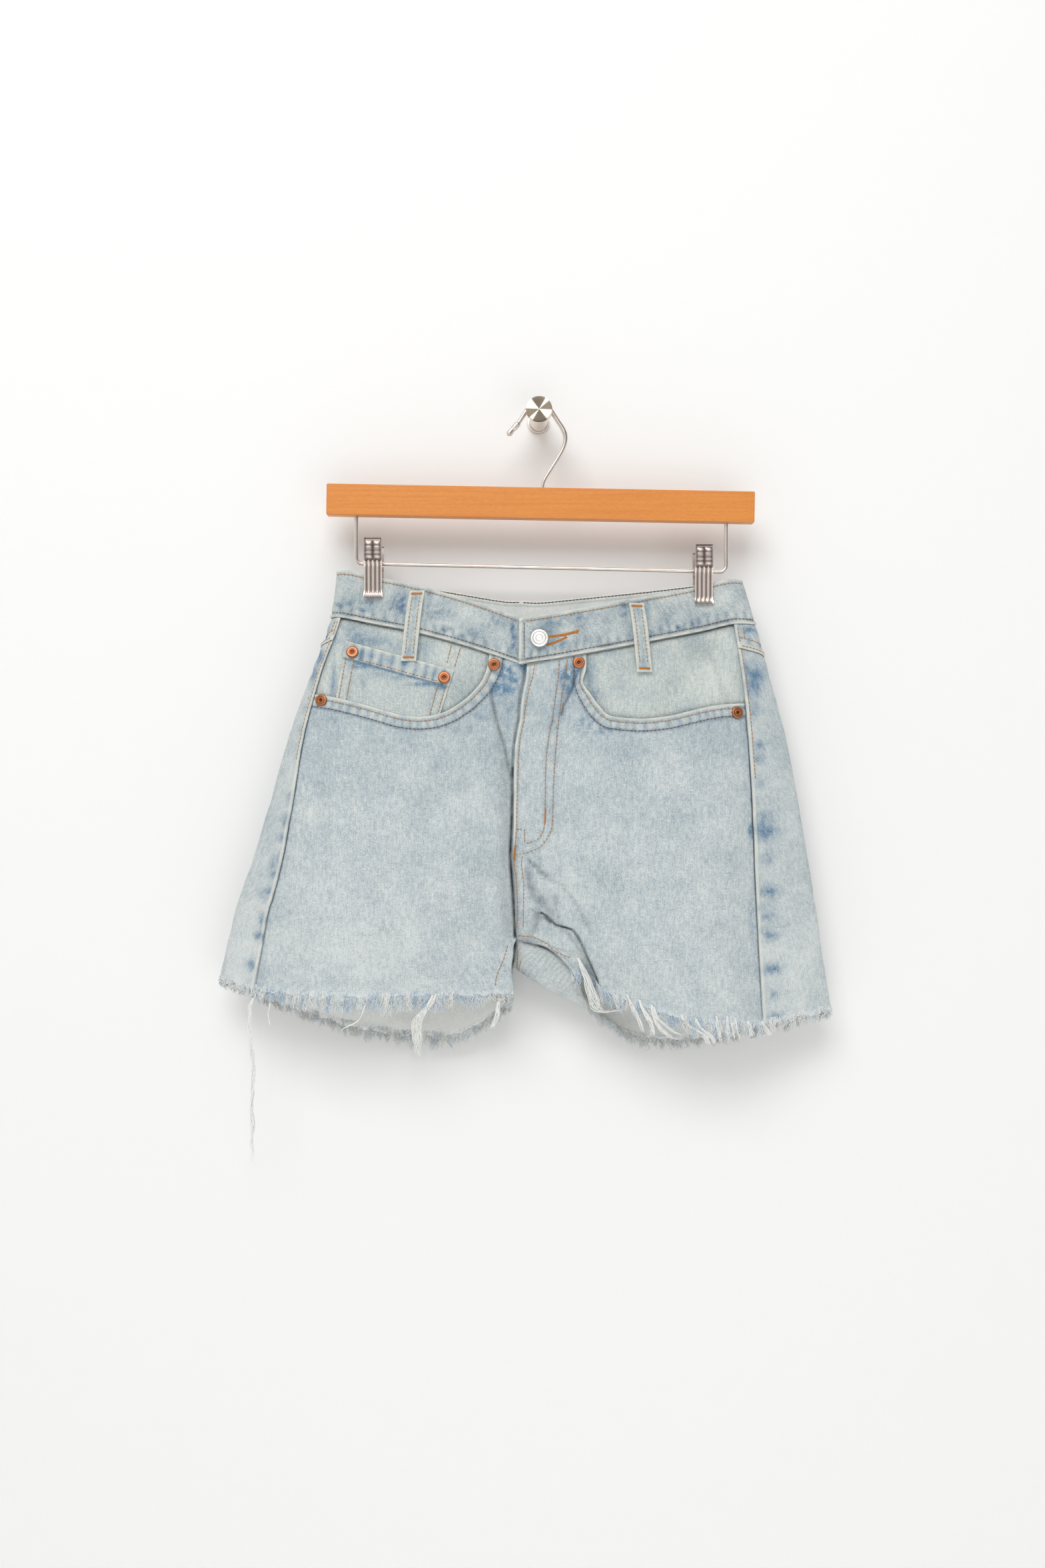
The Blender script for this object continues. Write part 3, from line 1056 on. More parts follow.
def dressed(kind, half, across, down, inset=0.0):
    """Points of a front, back or yoke with its sewn relief, and its marks."""
    across, down = np.broadcast_arrays(np.asarray(across, float), np.asarray(down, float))
    plain = cloth(half, across, down)
    relief = front_relief if kind == "front" else back_relief
    lift, blue, worn, frayed, shade, wash = relief(half, plain, across, down)
    from_seam = np.abs(down - yoke_row(across)) * YOKE_ROW_MM
    if kind == "back":
        lift = lift + ridge(from_seam, 0, 1.3, -0.4)
    if kind == "yoke":
        ropes = pucker(plain[..., 0], 10.0, 0.5)
        lift = lift + ridge(from_seam, 2.0, 2.2, 0.6) + ridge(from_seam, 8.0, 3.5, 0.3) * ropes
        blue = blue + ridge(from_seam, 7.0, 3.0, 0.6) * np.clip(-ropes, 0, 1)
        worn = worn + ridge(from_seam, 1.6, 2.0, 0.8) + ridge(from_seam, 7.0, 3.0, 0.3) * np.clip(ropes, 0, 1)
    points = cloth(half, across, down, inset - lift)
    if kind == "front":
        points[..., 0] += pulled_aside(half, plain, across)
    return points, dict(zip(MARKS, (blue, worn, frayed, shade, wash)))


def hem_drop(columns, seed):
    """How far, in rows, the cut edge wanders at each column."""
    return 0.035 * uneven(np.stack([columns * 40, columns * 0, columns * 0], axis=-1), 2.2, seed)


print("the yoke seam falls from row %.2f to %.2f" % (yoke_row(SEAM), yoke_row(LAST)))

# %% [markdown]
# ### The two fronts
# A front is not a rectangle of cloth: its top runs along the waist seam and then down round the pocket
# mouth. So the grid's columns start on that line, spaced by its length, and fan out to the hem. Rows and
# columns crowd together near edges, where the relief is finest, and open up in the plain middle.

# %% Fronts
PANEL_MM = 1.0                       # thickness of the denim
SPREAD_FRONT = runs(0, (0.06, 20), (0.3, 60), (0.95, 76), (1.0, 14))
SPREAD_DOWN = runs(0, (0.055, 24), (0.55, 68), (0.96, 90), (1.0, 10))
WAIST_POINTS, STEEP_MM = 24, 28.0    # points along the waist, and how long the steep part of the mouth is


def front_top(half, columns):
    """Places of a front's top line, from the centre front along the waist and round the pocket mouth."""
    scoop = np.array(SCOOPS[half], float)
    rounded = curve_points(scoop, spread(0, len(scoop) - 1, 241))
    across, down = place_of(half, rounded[:, 0], rounded[:, 1])
    keep = (down > WAIST) & (across < SEAM)
    first = across[keep][0]
    waist = np.stack([spread(0, first, WAIST_POINTS), np.full(WAIST_POINTS, float(WAIST))], axis=1)
    mouth = np.stack([across[keep], down[keep]], axis=1)
    last = np.array([[SEAM, mouth[-1, 1]]])
    line = np.concatenate([waist, mouth, last])
    run = run_along(cloth(half, line[:, 0], line[:, 1]))
    wanted = columns * run[-1]
    top_across, top_down = values_at(wanted, run, line).T
    # Columns that start on the steep part of the mouth lean away from it, or they would cross the edge.
    steep = (run[WAIST_POINTS - 1], run[WAIST_POINTS - 1] + STEEP_MM)
    edge = np.interp(steep, run, line[:, 0])
    foot = np.interp(wanted, (0, *steep, run[-1]), (0, 0.5 * edge[0], 0.97 * edge[1], SEAM))
    return top_across, top_down, foot


def front_places(half):
    """The grid of places of one front."""
    top_across, top_down, foot = front_top(half, SPREAD_FRONT)
    share = SPREAD_DOWN[:, None]
    across = top_across + (foot - top_across) * share ** 0.5
    return across, top_down + (HEM + hem_drop(foot, 6) - top_down) * share


for half in SIDES:
    across, down = front_places(half)
    points, marks = dressed("front", half, across, down)
    grain = cloth(half, across, down)[..., [0, 2]] * MM
    shell("front_" + half, points, PANEL_MM, [OUTSIDE, INSIDE], -SIDES[half], marks, grain)

# %% [markdown]
# ### Backs and yokes
# The yoke is the shaped band of cloth over the seat; below it the back wraps round the outer fold of the
# leg to the side seam. Both are plain grids between two rows of the net.

# %% Backs and yokes
ROUND_BACK = runs(SEAM, (4.5, 20), (EDGE + 0.6, 14), (9.6, 58), (10.6, 22), (LAST, 18))
BACK_DOWN = runs(0, (0.055, 10), (0.75, 54), (0.96, 36), (1.0, 8))[:, None]
YOKE_DOWN = runs(0, (0.15, 4), (0.8, 18), (1.0, 10))[:, None]
seam = yoke_row(ROUND_BACK)
for half in SIDES:
    for kind, down in (("back", seam + (HEM + hem_drop(ROUND_BACK, 7) - seam) * BACK_DOWN),
                       ("yoke", WAIST + (seam - WAIST) * YOKE_DOWN)):
        points, marks = dressed(kind, half, ROUND_BACK, down)
        shell(kind + "_" + half, points, PANEL_MM, [OUTSIDE, INSIDE], -SIDES[half], marks,
              cloth_metres(cloth(half, ROUND_BACK, down)))

# %% [markdown]
# ### The waistband
# One long strip folded in two goes round the waist, from the buttonhole end past the centre back to the
# end hidden under the button. Its folded top and the seam at its foot are rolled and worn to cream, with a
# stitch row pulled in beside each.

# %% Waistband
BAND_OUT = 0.5                       # the band stands proud of the panels
BAND_TOP_ROW, BAND_FOOT_ROW = 3.6, 4.0                         # stitch rows below its top edge and above its foot
INNER_ROWS = (1.6, 33.5)             # the rows on its inner side, below the top edge
BAND_END_MM = 55.0                   # width of the first column, at the buttonhole end
BAND_ROUND = runs(0, (0.3, 22), (SEAM, 100), (EDGE, 16), (LAST, 96))


def band_height(half, across):
    """Height of the band at a place round it, in mm."""
    return np.linalg.norm(cloth(half, across, float(WAIST)) - cloth(half, across, 0.0), axis=-1)


def band_points(half, across, down, inset=0.0):
    """Points of the band with its relief, and its marks."""
    across, down = np.broadcast_arrays(np.asarray(across, float), np.asarray(down, float))
    plain = cloth(half, across, down)
    tall = band_height(half, across)
    height = down * tall
    foot = tall - height
    waves = pucker(plain[..., 0] + 0.4 * plain[..., 1], 7.8, 0.2)
    lift = ridge(height, 1.2, 1.5, 0.45) + ridge(height, BAND_TOP_ROW, 0.9, -0.35)
    lift += ridge(foot, 1.3, 1.3, 0.7) + ridge(foot, BAND_FOOT_ROW, 0.9, -0.6) + 0.12 * uneven(plain, 12.0, 31)
    lift += ridge(foot, 8.0, 4.0, 0.38) * waves + ridge(height, 7.5, 3.0, 0.15) * pucker(plain[..., 0], 5.0, 2.2)
    front = plain[..., 1] < -40
    blue = np.where(front, spotted(plain, BAND_SPOTS), 0.0) * (1.05 + 0.5 * uneven(plain, 3.0, 13))
    blue += ridge(foot, 7.5, 3.5, 0.45) * np.clip(-waves, 0, 1) + 0.10 * uneven(plain, 14.0, 14) + 0.08
    worn = ridge(height, 0.6, 1.5, 0.75) + ridge(foot, 0.9, 1.1, 1.1)
    worn += ridge(foot, 7.0, 3.0, 0.35) * np.clip(waves, 0, 1)
    worn *= 0.75 + 0.35 * uneven(plain, 7.0, 33)
    shade = ridge(foot, 3.6, 1.2, 0.38) * (0.7 + 0.5 * uneven(plain, 11.0, 34))
    shade += ridge(height, BAND_TOP_ROW + 0.4, 0.8, 0.18)
    if half == "left":
        end = np.clip(across, 0, 1) * BAND_END_MM
        lift += (across < 1) * (ridge(end, 1.5, 1.7, 0.4) + ridge(end, 4.4, 0.9, -0.3))
        worn += (across < 1) * ridge(end, 1.0, 1.6, 0.9)
    wash = 0.14 * uneven(plain, 9.0, 35) + 0.10 * uneven(plain, 24.0, 36)
    marks = {"blue": blue, "worn": worn, "shade": shade, "wash": wash}
    return cloth(half, across, down, inset - BAND_OUT - lift), marks


def round_band(left, right, under):
    """One array round the whole band, from its three stretches."""
    return np.concatenate([left, right[:, -2::-1], under], axis=1)


down = runs(0, (0.16, 10), (0.72, 14), (1.0, 16))[:, None]
STRETCHES = (("left", BAND_ROUND, 0.0), ("right", BAND_ROUND, 0.0), ("left", runs(0.15, (0.45, 8)), 3.4))
made = [band_points(half, across, down, inset) for half, across, inset in STRETCHES]
marks = {key: round_band(*(part[1][key] for part in made)) for key in made[0][1]}
plain = round_band(*(cloth(half, across, down) for half, across, _ in STRETCHES))
shell("waistband", round_band(*(part[0] for part in made)), 2.0, [BAND_DENIM, INSIDE], -1, marks,
      cloth_metres(plain))

# %% [markdown]
# ### Pockets, loops and facings
# These lie on or just under the panels, so each is laid out flat in x and z, like a paper pattern, and its
# points are then found on the cloth and lifted off it. `lay` does that, also across the centre seam.

# %% Laying pattern pieces on the cloth
MIDDLE_X = -14.0                     # x of the centre seam


def lay(x, z, lift, back=False, half=None):
    """Points over the cloth at x and z; half is chosen by the side of the centre seam if not given."""
    x, z, lift = np.broadcast_arrays(np.asarray(x, float), np.asarray(z, float), np.asarray(lift, float))
    if half:
        return cloth(half, *place_of(half, x, z, back), -lift)
    points = np.zeros(x.shape + (3,))
    for half, own in (("right", x < MIDDLE_X), ("left", x >= MIDDLE_X)):
        if own.any():
            points[own] = cloth(half, *place_of(half, x[own], z[own], back), -lift[own])
    return points


def pocket_facing(half):
    """The denim seen inside a pocket mouth."""
    across, share = np.meshgrid(spread({"right": 0.4, "left": 0.8}[half], SEAM + 0.1, 80), spread(0, 1, 52))
    down = WAIST + share * 2.0
    plain = cloth(half, across, down)
    below_waist = (down - WAIST) * WAIST_ROW_MM
    lift = 0.2 * uneven(plain, 13.0, 41) + 0.12 * uneven(plain, 6.0, 42)
    lift += ridge(off_line(plain, SIDE_LINES[half]), 0, 2.0, -0.3)
    lift += ridge(below_waist, 4.0, 3.5, 0.25) * pucker(plain[..., 0], 8.0, 1.1)
    blue = spotted(plain, FACING_SPOTS) + 0.10 * uneven(plain, 16.0, 43) + 0.04
    shade = ridge(below_waist, 0.5, 1.6, 0.35) + ridge(off_line(plain, SCOOPS[half]), 0, 2.2, 0.3)
    if half == "left":
        bag = off_line(plain, ((139, -198), (143, -205), (150, -222), (157, -248)))
        lift += ridge(bag, 0, 1.6, -0.5)
        shade += ridge(bag, 0, 2.5, 0.12)
    marks = {"blue": blue, "shade": shade, "wash": 0.16 * uneven(plain, 20.0, 44)}
    shell("facing_" + half, cloth(half, across, down, 2.2 - lift), 0.9, [TRIM_DENIM, INSIDE], -SIDES[half], marks,
          plain[..., [0, 2]] * MM, "pocket_facing_" + half)


def fly_facing():
    """The strip behind the left fly's edge."""
    across, down = np.meshgrid(spread(0.15, 0.6, 14), spread(WAIST, 6.0, 90))
    shell("fly_facing", dressed("front", "left", across, down, 2.4)[0], 0.8, [TRIM_DENIM], -1)


print("2 mm over the left front:", lay([100.0], -300.0, 2.0, half="left")[0].round(1), "mm")

# %% [markdown]
# The coin pocket is cut with straight sides and a turned mouth. Its foot follows the right pocket's scoop and
# is hidden behind it.

# %% Coin pocket
COIN_TOP = ((-161.5, -193.0), (-70.5, -219.0))
COIN_FOOT = (-169.5, -82.0)
COIN_WIDTH = 92.0                    # mean width, to measure from its side edges
COIN_BAND = 14.0                     # depth of the coin pocket's turned mouth
COIN_BAND_ROW = 12.6                 # its stitch row
COIN_ROWS = (2.7, 9.4)               # stitch rows inside its side edges


def coin_spots(u, v):
    """x and z on the coin pocket from shares across and down."""
    top = [COIN_TOP[0][k] + u * (COIN_TOP[1][k] - COIN_TOP[0][k]) for k in (0, 1)]
    foot_x = COIN_FOOT[0] + u * (COIN_FOOT[1] - COIN_FOOT[0])
    edge = sorted(SCOOPS["right"][3:])
    foot_z = np.interp(foot_x, [p[0] for p in edge], [p[1] for p in edge]) - 3.0
    return top[0] + v * (foot_x - top[0]), top[1] + v * (foot_z - top[1])


def coin_pocket():
    """The small pocket that shows in the right pocket's mouth."""
    u, v = np.meshgrid(runs(0, (0.04, 7), (0.96, 74), (1.0, 7)), runs(0, (0.05, 6), (1.0, 54)))
    x, z = coin_spots(u, v)
    height = v * np.hypot(x[-1] - x[0], z[-1] - z[0])
    side = np.minimum(u, 1 - u) * COIN_WIDTH
    on_band = 0.5 - 0.5 * np.tanh((height - COIN_BAND) / 0.5)
    plain = np.stack([x, x * 0 - 60, z], axis=-1)
    waves = pucker(u * COIN_WIDTH, 7.5, 0.6)
    lift = on_band * (0.55 + 0.2 * waves)
    lift += ridge(height, 1.1, 1.3, 0.35) + ridge(height, COIN_BAND_ROW, 0.8, -0.3)
    grooves = ridge(side, COIN_ROWS[0], 0.7, -0.25) + ridge(side, COIN_ROWS[1], 0.7, -0.25)
    lift += (1 - on_band) * (ridge(side, 1.2, 1.5, 0.4) + grooves)
    lift += 0.12 * uneven(plain, 10.0, 51) + ridge(height, 18, 3.0, 0.2) * waves
    blue = spotted(plain, COIN_SPOTS) + ridge(height, COIN_BAND + 0.9, 1.3, 0.8)
    blue += on_band * np.clip(-waves, 0, 1) * 0.35 + 0.08 + (1 - on_band) * ridge(side, 11.0, 1.5, 0.2)
    worn = ridge(height, 0.5, 1.2, 0.8) + ridge(side, 0.5, 1.1, 0.8) + on_band * np.clip(0.1 + 0.3 * waves, 0, 1)
    worn = (worn + ridge(height, COIN_BAND - 0.9, 0.8, 0.5)) * (0.78 + 0.3 * uneven(plain, 6.0, 52))
    marks = {"blue": blue, "worn": worn, "shade": ridge(height, COIN_BAND + 0.6, 0.7, 0.3)}
    shell("coin_pocket", lay(x, z, -0.7 + lift, half="right"), 0.9, [TRIM_DENIM], -1, marks,
          np.stack([x, z], axis=-1) * MM)


print("the coin pocket's mouth is %.0f mm wide" % math.dist(*COIN_TOP))

# %% [markdown]
# A back pocket is a patch with a pointed foot. It tapers a little towards the foot, and its mouth falls
# slightly towards the side seam.

# %% Back pockets
BACK_POCKET = {"half_width": 70, "half_foot": 58, "side": 122, "point": 145, "lean": 0.03}
BACK_POCKET_MOUTH = {"right": (-112, -262), "left": (94, -266)}
POCKET_ROWS = (2.4, 8.4)
POCKET_HALF, POCKET_DEPTH, POCKET_FOOT = 64.0, 135.0, 128.0    # mean sizes, to measure from its edges


def pocket_spots(half, share, drop):
    """x and z on a back pocket from -1 to 1 across and 0 to 1 down."""
    middle, mouth = BACK_POCKET_MOUTH[half]
    half_width = BACK_POCKET["half_width"] + drop * (BACK_POCKET["half_foot"] - BACK_POCKET["half_width"])
    depth = BACK_POCKET["point"] + np.abs(share) * (BACK_POCKET["side"] - BACK_POCKET["point"])
    x = middle + share * half_width
    return x, mouth - drop * depth - BACK_POCKET["lean"] * (x - middle) * SIDES[half]


def back_pocket(half):
    """A plain patch pocket with a pointed foot, its mouth turned in and sewn twice."""
    share, drop = np.meshgrid(runs(-1, (-0.93, 7), (0.93, 58), (1, 7)), runs(0, (0.1, 12), (0.95, 48), (1, 7)))
    x, z = pocket_spots(half, share, drop)
    plain = np.stack([x, x * 0 - 20, z], axis=-1)
    mouth = drop * POCKET_DEPTH
    edge = np.minimum((1 - np.abs(share)) * POCKET_HALF, (1 - drop) * POCKET_FOOT)
    ropes, mouth_ropes = pucker(x + z, 9.5, 1.4), pucker(x, 8.5, 0.4)
    lift = ridge(edge, 1.2, 1.4, 0.4) + ridge(mouth, 1.2, 1.4, 0.4)
    for row in POCKET_ROWS:
        lift += ridge(edge, row, 0.8, -0.25)
    lift += ridge(mouth, 12.5, 0.9, -0.35) + ridge(mouth, 6.5, 3.5, 0.25) * mouth_ropes
    lift += ridge(edge, 5.4, 2.0, 0.22) * ropes + 0.25 * uneven(plain, 22.0, 61) + 0.1 * uneven(plain, 8.0, 62)
    blue = ridge(edge, 5.4, 2.2, 0.5) * np.clip(-ropes, 0, 1) + 0.12 * uneven(plain, 25.0, 63) + 0.06
    blue += ridge(mouth, 13.5, 1.4, 0.35) + ridge(mouth, 6.5, 3.5, 0.45) * np.clip(-mouth_ropes, 0, 1)
    worn = ridge(edge, 0.6, 1.9, 1.0) + ridge(mouth, 0.6, 2.2, 1.0)
    worn += ridge(edge, 5.0, 2.2, 0.35) * np.clip(ropes, 0, 1)
    shell("back_pocket_" + half, lay(x, z, 1.9 + lift, True, half), 1.1, [OUTSIDE, INSIDE], 1,
          {"blue": blue, "worn": worn}, np.stack([x, z], axis=-1) * MM)


print("a back pocket is %d mm deep at its point" % BACK_POCKET["point"])

# %% [markdown]
# A belt loop is a strip folded in three, tacked to the band at both ends and standing off it between them.

# %% Belt loops, and the small pieces made
LOOP_WIDTH = 13.0
LOOP_ROWS = 3.3                      # stitch rows inside a loop's long edges
BELT_LOOPS = (
    ("belt_loop_front_right", False, (-101, -152.0), (-108, -212)),
    ("belt_loop_front_left", False, (80.5, -162.5), (87, -221)),
    ("belt_loop_back_right", True, (-92, -149.0), (-95, -203)),
    ("belt_loop_back_left", True, (76, -151.8), (79, -205)),
    ("belt_loop_centre_back", True, (-14, -158.3), (-14, -213)),
)
LOOP_RISE = ((0, 0.06, 0.17, 0.33, 0.5, 0.67, 0.83, 0.94, 1.0), (0.2, 0.2, 1.6, 2.2, 2.2, 1.8, 0.7, 0.0, 0.0))


def loop_points(at_back, top, foot, aside, drop, lift):
    """Points over a belt loop: aside in mm from its middle, drop from 0 to 1."""
    x = top[0] + drop * (foot[0] - top[0]) + aside
    z = top[1] + drop * (foot[1] - top[1])
    return lay(x, z, 2.4 + np.interp(drop, *LOOP_RISE) + lift, at_back)


def belt_loop(name, at_back, top, foot):
    """A folded strip tacked to the band at both ends."""
    aside, drop = np.meshgrid(spread(-LOOP_WIDTH / 2, LOOP_WIDTH / 2, 23), spread(0, 1, 48))
    length = math.dist(top, foot)
    edge = LOOP_WIDTH / 2 - np.abs(aside)
    end = np.minimum(drop, 1 - drop) * length
    plain = np.stack([aside + top[0], aside * 0, -drop * length], axis=-1)
    lift = ridge(edge, 1.2, 1.4, 0.35) + ridge(edge, LOOP_ROWS, 0.8, -0.3) + ridge(edge, 6.5, 2.0, 0.12)
    lift += 0.08 * uneven(plain, 7.0, 71) - np.exp(-(end / 1.6) ** 2) * 0.3 + ridge(end, 3.2, 1.4, -0.35)
    blue = ridge(edge, 6.5, 2.3, 0.28) + ridge(end, 7.0, 3.5, 0.35) * ridge(edge, 6.5, 3.0, 1.0)
    worn = (ridge(edge, 0.5, 1.2, 0.85) + ridge(end, 0.5, 1.6, 0.7)) * (0.75 + 0.35 * uneven(plain, 5.0, 72))
    shell(name, loop_points(at_back, top, foot, aside, drop, lift), 1.2, [TRIM_DENIM, INSIDE],
          1 if at_back else -1, {"blue": blue, "worn": worn})


for half in SIDES:
    pocket_facing(half)
    back_pocket(half)
coin_pocket()
fly_facing()
for loop in BELT_LOOPS:
    belt_loop(*loop)

# %% [markdown]
# ## Sewing thread
# Jeans are sewn with a thick cotton-wrapped thread, here about 0.7 mm wide, with a stitch every 3.3 mm.
# Washing has bleached the rows on open cloth to pale gold, while those in a groove beside a rolled edge
# stay brown, and the bar tacks, sewn very densely, keep their orange.

# %% Thread finishes
def sewing_thread(name, light, deep):
    """Spun thread: two shades by noise, matt, with the twist as a fine bump."""
    made, tree, shader = new_finish(name, Roughness=0.75, Specular_IOR_Level=0.3, Sheen_Weight=0.2)
    place = node(tree, "TexCoord").outputs["Object"]
    patches = node(tree, "TexNoise", sockets={"Vector": place, "Scale": 1000 / 3.0, "Detail": 2.0})
    colour = node(tree, "Mix", {"data_type": "RGBA"}, {0: patches, 6: linear(light), 7: linear(deep)})
    tree.links.new(colour.outputs[2], shader.inputs["Base Color"])
    twist = node(tree, "TexNoise", sockets={"Vector": place, "Scale": 1000 / 0.35, "Detail": 1.0})
    relief = node(tree, "Bump", sockets={"Height": twist, "Strength": 0.5, "Distance": 0.0001})
    tree.links.new(relief.outputs[0], shader.inputs["Normal"])
    return made


GOLD = sewing_thread("bleached_gold_thread", "#C69A66", "#8C6035")
BROWN = sewing_thread("brown_thread", "#7F685B", "#4B3C38")
ORANGE = sewing_thread("orange_tack_thread", "#D28B3C", "#A9692A")
print("thread finishes:", [made.name for made in (GOLD, BROWN, ORANGE)])

# %% [markdown]
# Each stitch is its own little bent tube: it dives into the cloth at both ends and stands proud in the
# middle. It is a ring of five points carried along five stations. Thousands are made at once as one array,
# which is far quicker than one object each, and every colour of thread becomes a single mesh.

# %% Stitches
STITCH_PITCH, STITCH_LENGTH, STITCH_RADIUS = 3.3, 3.1, 0.37
SEWN = {"gold": [], "brown": [], "orange": []}


def thread_tubes(starts, ends, normals, radius, arch):
    """Bent tubes from start to end points, standing up along the normals."""
    along, aside = unit(ends - starts), unit(np.cross(ends - starts, normals))
    middle, half_length = (starts + ends) / 2, np.linalg.norm(ends - starts, axis=1)[:, None] / 2
    rings = []
    for station in spread(-1, 1, 5):
        centre = middle + along * station * half_length + normals * arch * (1 - 1.7 * station ** 2)
        thin = radius * math.sqrt(1 - 0.7 * station ** 2)
        rings.append(np.stack([centre + thin * (math.cos(a) * aside + 0.8 * math.sin(a) * normals)
                               for a in spread(0, 2 * math.pi, 6)[:-1]], axis=1))
    points = np.stack(rings, axis=1)
    return points.reshape(-1, 3), tube_quads(points.shape[:3])


def along_line(points, normals, pitch, length):
    """Start and end points and normals of stitches along a dense line."""
    run = run_along(points)
    middles = np.arange(pitch * 0.6, run[-1] - pitch * 0.5, pitch)
    ends = [values_at(middles + shift, run, points) for shift in (-length / 2, length / 2)]
    return (*ends, unit(values_at(middles, run, normals)))


def sew(colour, points, normals, pitch=STITCH_PITCH, radius=STITCH_RADIUS):
    """Add one row of stitches in a colour."""
    starts, ends, out = along_line(points, normals, pitch, pitch * STITCH_LENGTH / STITCH_PITCH)
    SEWN[colour].append(thread_tubes(starts, ends, out, radius, radius * 0.75))


def tack(colour, points, normals, width, pitch=0.42, radius=0.26):
    """A bar tack or satin edge: threads laid across a line, close together."""
    starts, ends, out = along_line(points, normals, pitch, pitch)
    middle, ahead = (starts + ends) / 2, unit(ends - starts)
    wobble = np.random.default_rng(len(points)).uniform(0.8, 1.1, (len(middle), 1))
    reach = (unit(np.cross(ahead, out)) * width / 2 + ahead * 0.25) * wobble
    SEWN[colour].append(thread_tubes(middle - reach, middle + reach, out, radius, 0.35))


def sew_over(colour, kind, half, across, down, pitch=STITCH_PITCH):
    """Sew a row over places of a front, back or yoke."""
    across, down = np.broadcast_arrays(np.asarray(across, float), down)
    sew(colour, dressed(kind, half, across, down, -0.05)[0], outward(half, across, down), pitch)


def dense(line, step=1.5):
    """A smooth line through corners in x and z, with a point about every step mm."""
    line = np.array(line, float)
    rounded = curve_points(line, spread(0, len(line) - 1, 40 * len(line)))
    run = run_along(rounded)
    return values_at(np.arange(0, run[-1], step), run, rounded)


def sew_line(colour, half, line, pitch=STITCH_PITCH):
    """Sew a row along a line in x and z on a front."""
    sew_over(colour, "front", half, *place_of(half, *dense(line, 0.8).T), pitch)


def beside(line, distance):
    """A line moved sideways in x and z; positive is to its left."""
    heading = unit(np.gradient(line, axis=0))
    return line + np.stack([-heading[:, 1], heading[:, 0]], axis=1) * distance


print("a dense line has", len(dense(J_INNER)), "points along the J")

# %% [markdown]
# The rows follow the seams: two beside each pocket mouth, gold on the rolled edge and brown in the groove,
# two over every felled seam, and the fly's own rows with the J that holds its facing.

# %% Rows on the panels
MOUTH_TOP = -207.0
YOKE_ROWS = (2.2, 8.6)                                         # mm above the yoke's seam
SIDE_ROWS = ((0.10, 3.4), (0.30, 1.3))                         # columns beside the seam, and their last net row

for half, sign in SIDES.items():
    widest = abs(SIDE_LINES[half][20, 0]) - 4
    for colour, distance in zip(("gold", "brown"), MOUTH_ROWS):
        row = beside(dense(SCOOPS[half], 3.0), -distance * sign)
        sew_line(colour, half, row[(row[:, 1] < MOUTH_TOP) & (np.abs(row[:, 0]) < widest)])
    across = spread(SEAM + 0.12, LAST - 0.1, 240)
    for distance in YOKE_ROWS:
        sew_over("gold", "yoke", half, across, yoke_row(across) - distance / YOKE_ROW_MM)
    for place, last in SIDE_ROWS:
        sew_over("gold", "back", half, SEAM + place, spread(WAIST + 0.05, last, 80))
FLY_ROWS = (                         # each with the pitch of its stitches
    (3.4, ((-5.9, -213.5), (-6.8, -222), (-9, -233), (-10.6, -244), (-12.3, -255), (-13.1, -263), (-15.5, -274),
           (-16.6, -285), (-17.5, -299), (-18.3, -326), (-18.8, -348), (-19.9, -365), (-20.5, -381),
           (-18.8, -392), (-18, -414), (-18.6, -436))),
    (3.4, ((-13.9, -371.3), (-14.7, -379.5), (-13.3, -392), (-12.8, -403), (-13.1, -414), (-13.3, -436))),
    (2.2, ((-18.6, -350.4), (-15.2, -350.4), (-11.6, -350.4))),
    (2.2, ((-12.1, -349.6), (-12.1, -357), (-12.3, -364.2))),
)
for pitch, line in FLY_ROWS:
    spots = dense(line)
    spots[:, 0] -= np.exp(-((spots[:, 0] + 20) / 19) ** 2) * np.interp(spots[:, 1], *FLY_EDGE)
    sew_line("gold", "left", spots, pitch)
for line in (J_INNER, J_OUTER, ((-18, -438.5), (-5, -439.8), (6, -445), (14, -452), (27, -457.5))):
    sew_line("gold", "left", line)
sew_line("gold", "right", ((-26, -446), (-39, -466), (-45.2, -477), (-47.5, -484)))
print("rows on the panels:", sum(len(rows) for rows in SEWN.values()))

# %% [markdown]
# The centre back seam has two rows. The back pockets are sewn round their edge and across the mouth, the band
# along both edges inside and out, and the coin pocket and belt loops along their sides.

# %% Rows on the back, pockets, band and loops
def facing_out(half, x, z, back=False):
    """Normals out of the cloth at x and z."""
    return outward(half, *place_of(half, x, z, back))


CENTRE_BACK_ROWS, LAST_COLUMN_MM = (2.4, 8.6), 26.0             # mm beside the seam, and the last column's width
s = spread(0, 1, 40)
for half in SIDES:
    if half == "left":               # the centre back seam is sewn once, on its left side
        for distance in CENTRE_BACK_ROWS:
            sew_over("gold", "back", half, LAST - distance / LAST_COLUMN_MM, spread(2.4, 7.8, 160))
    for row in POCKET_ROWS:
        share, drop = 1 - row / POCKET_HALF, 1 - row / POCKET_FOOT
        line = [(-share, 0.02), (-share, 0.5), (-share, drop), (-0.5, drop), (0, drop), (0.5, drop),
                (share, drop), (share, 0.5), (share, 0.02)]
        for start, end in zip(line[:-1], line[1:]):
            x, z = pocket_spots(half, *(start[k] + s * (end[k] - start[k]) for k in (0, 1)))
            sew("gold", lay(x, z, 1.95, True, half), facing_out(half, x, z, True))
    for drop in (0.018, 0.092):
        x, z = pocket_spots(half, spread(-0.97, 0.97, 90), drop)
        sew("gold", lay(x, z, 2.0, True, half), facing_out(half, x, z, True))
    across = BAND_ROUND[BAND_ROUND > 0.09]
    for colour, down in (("gold", BAND_TOP_ROW / band_height(half, across)),
                         ("brown", 1 - BAND_FOOT_ROW / band_height(half, across))):
        sew(colour, band_points(half, across, down, -0.05)[0], outward(half, across, down))
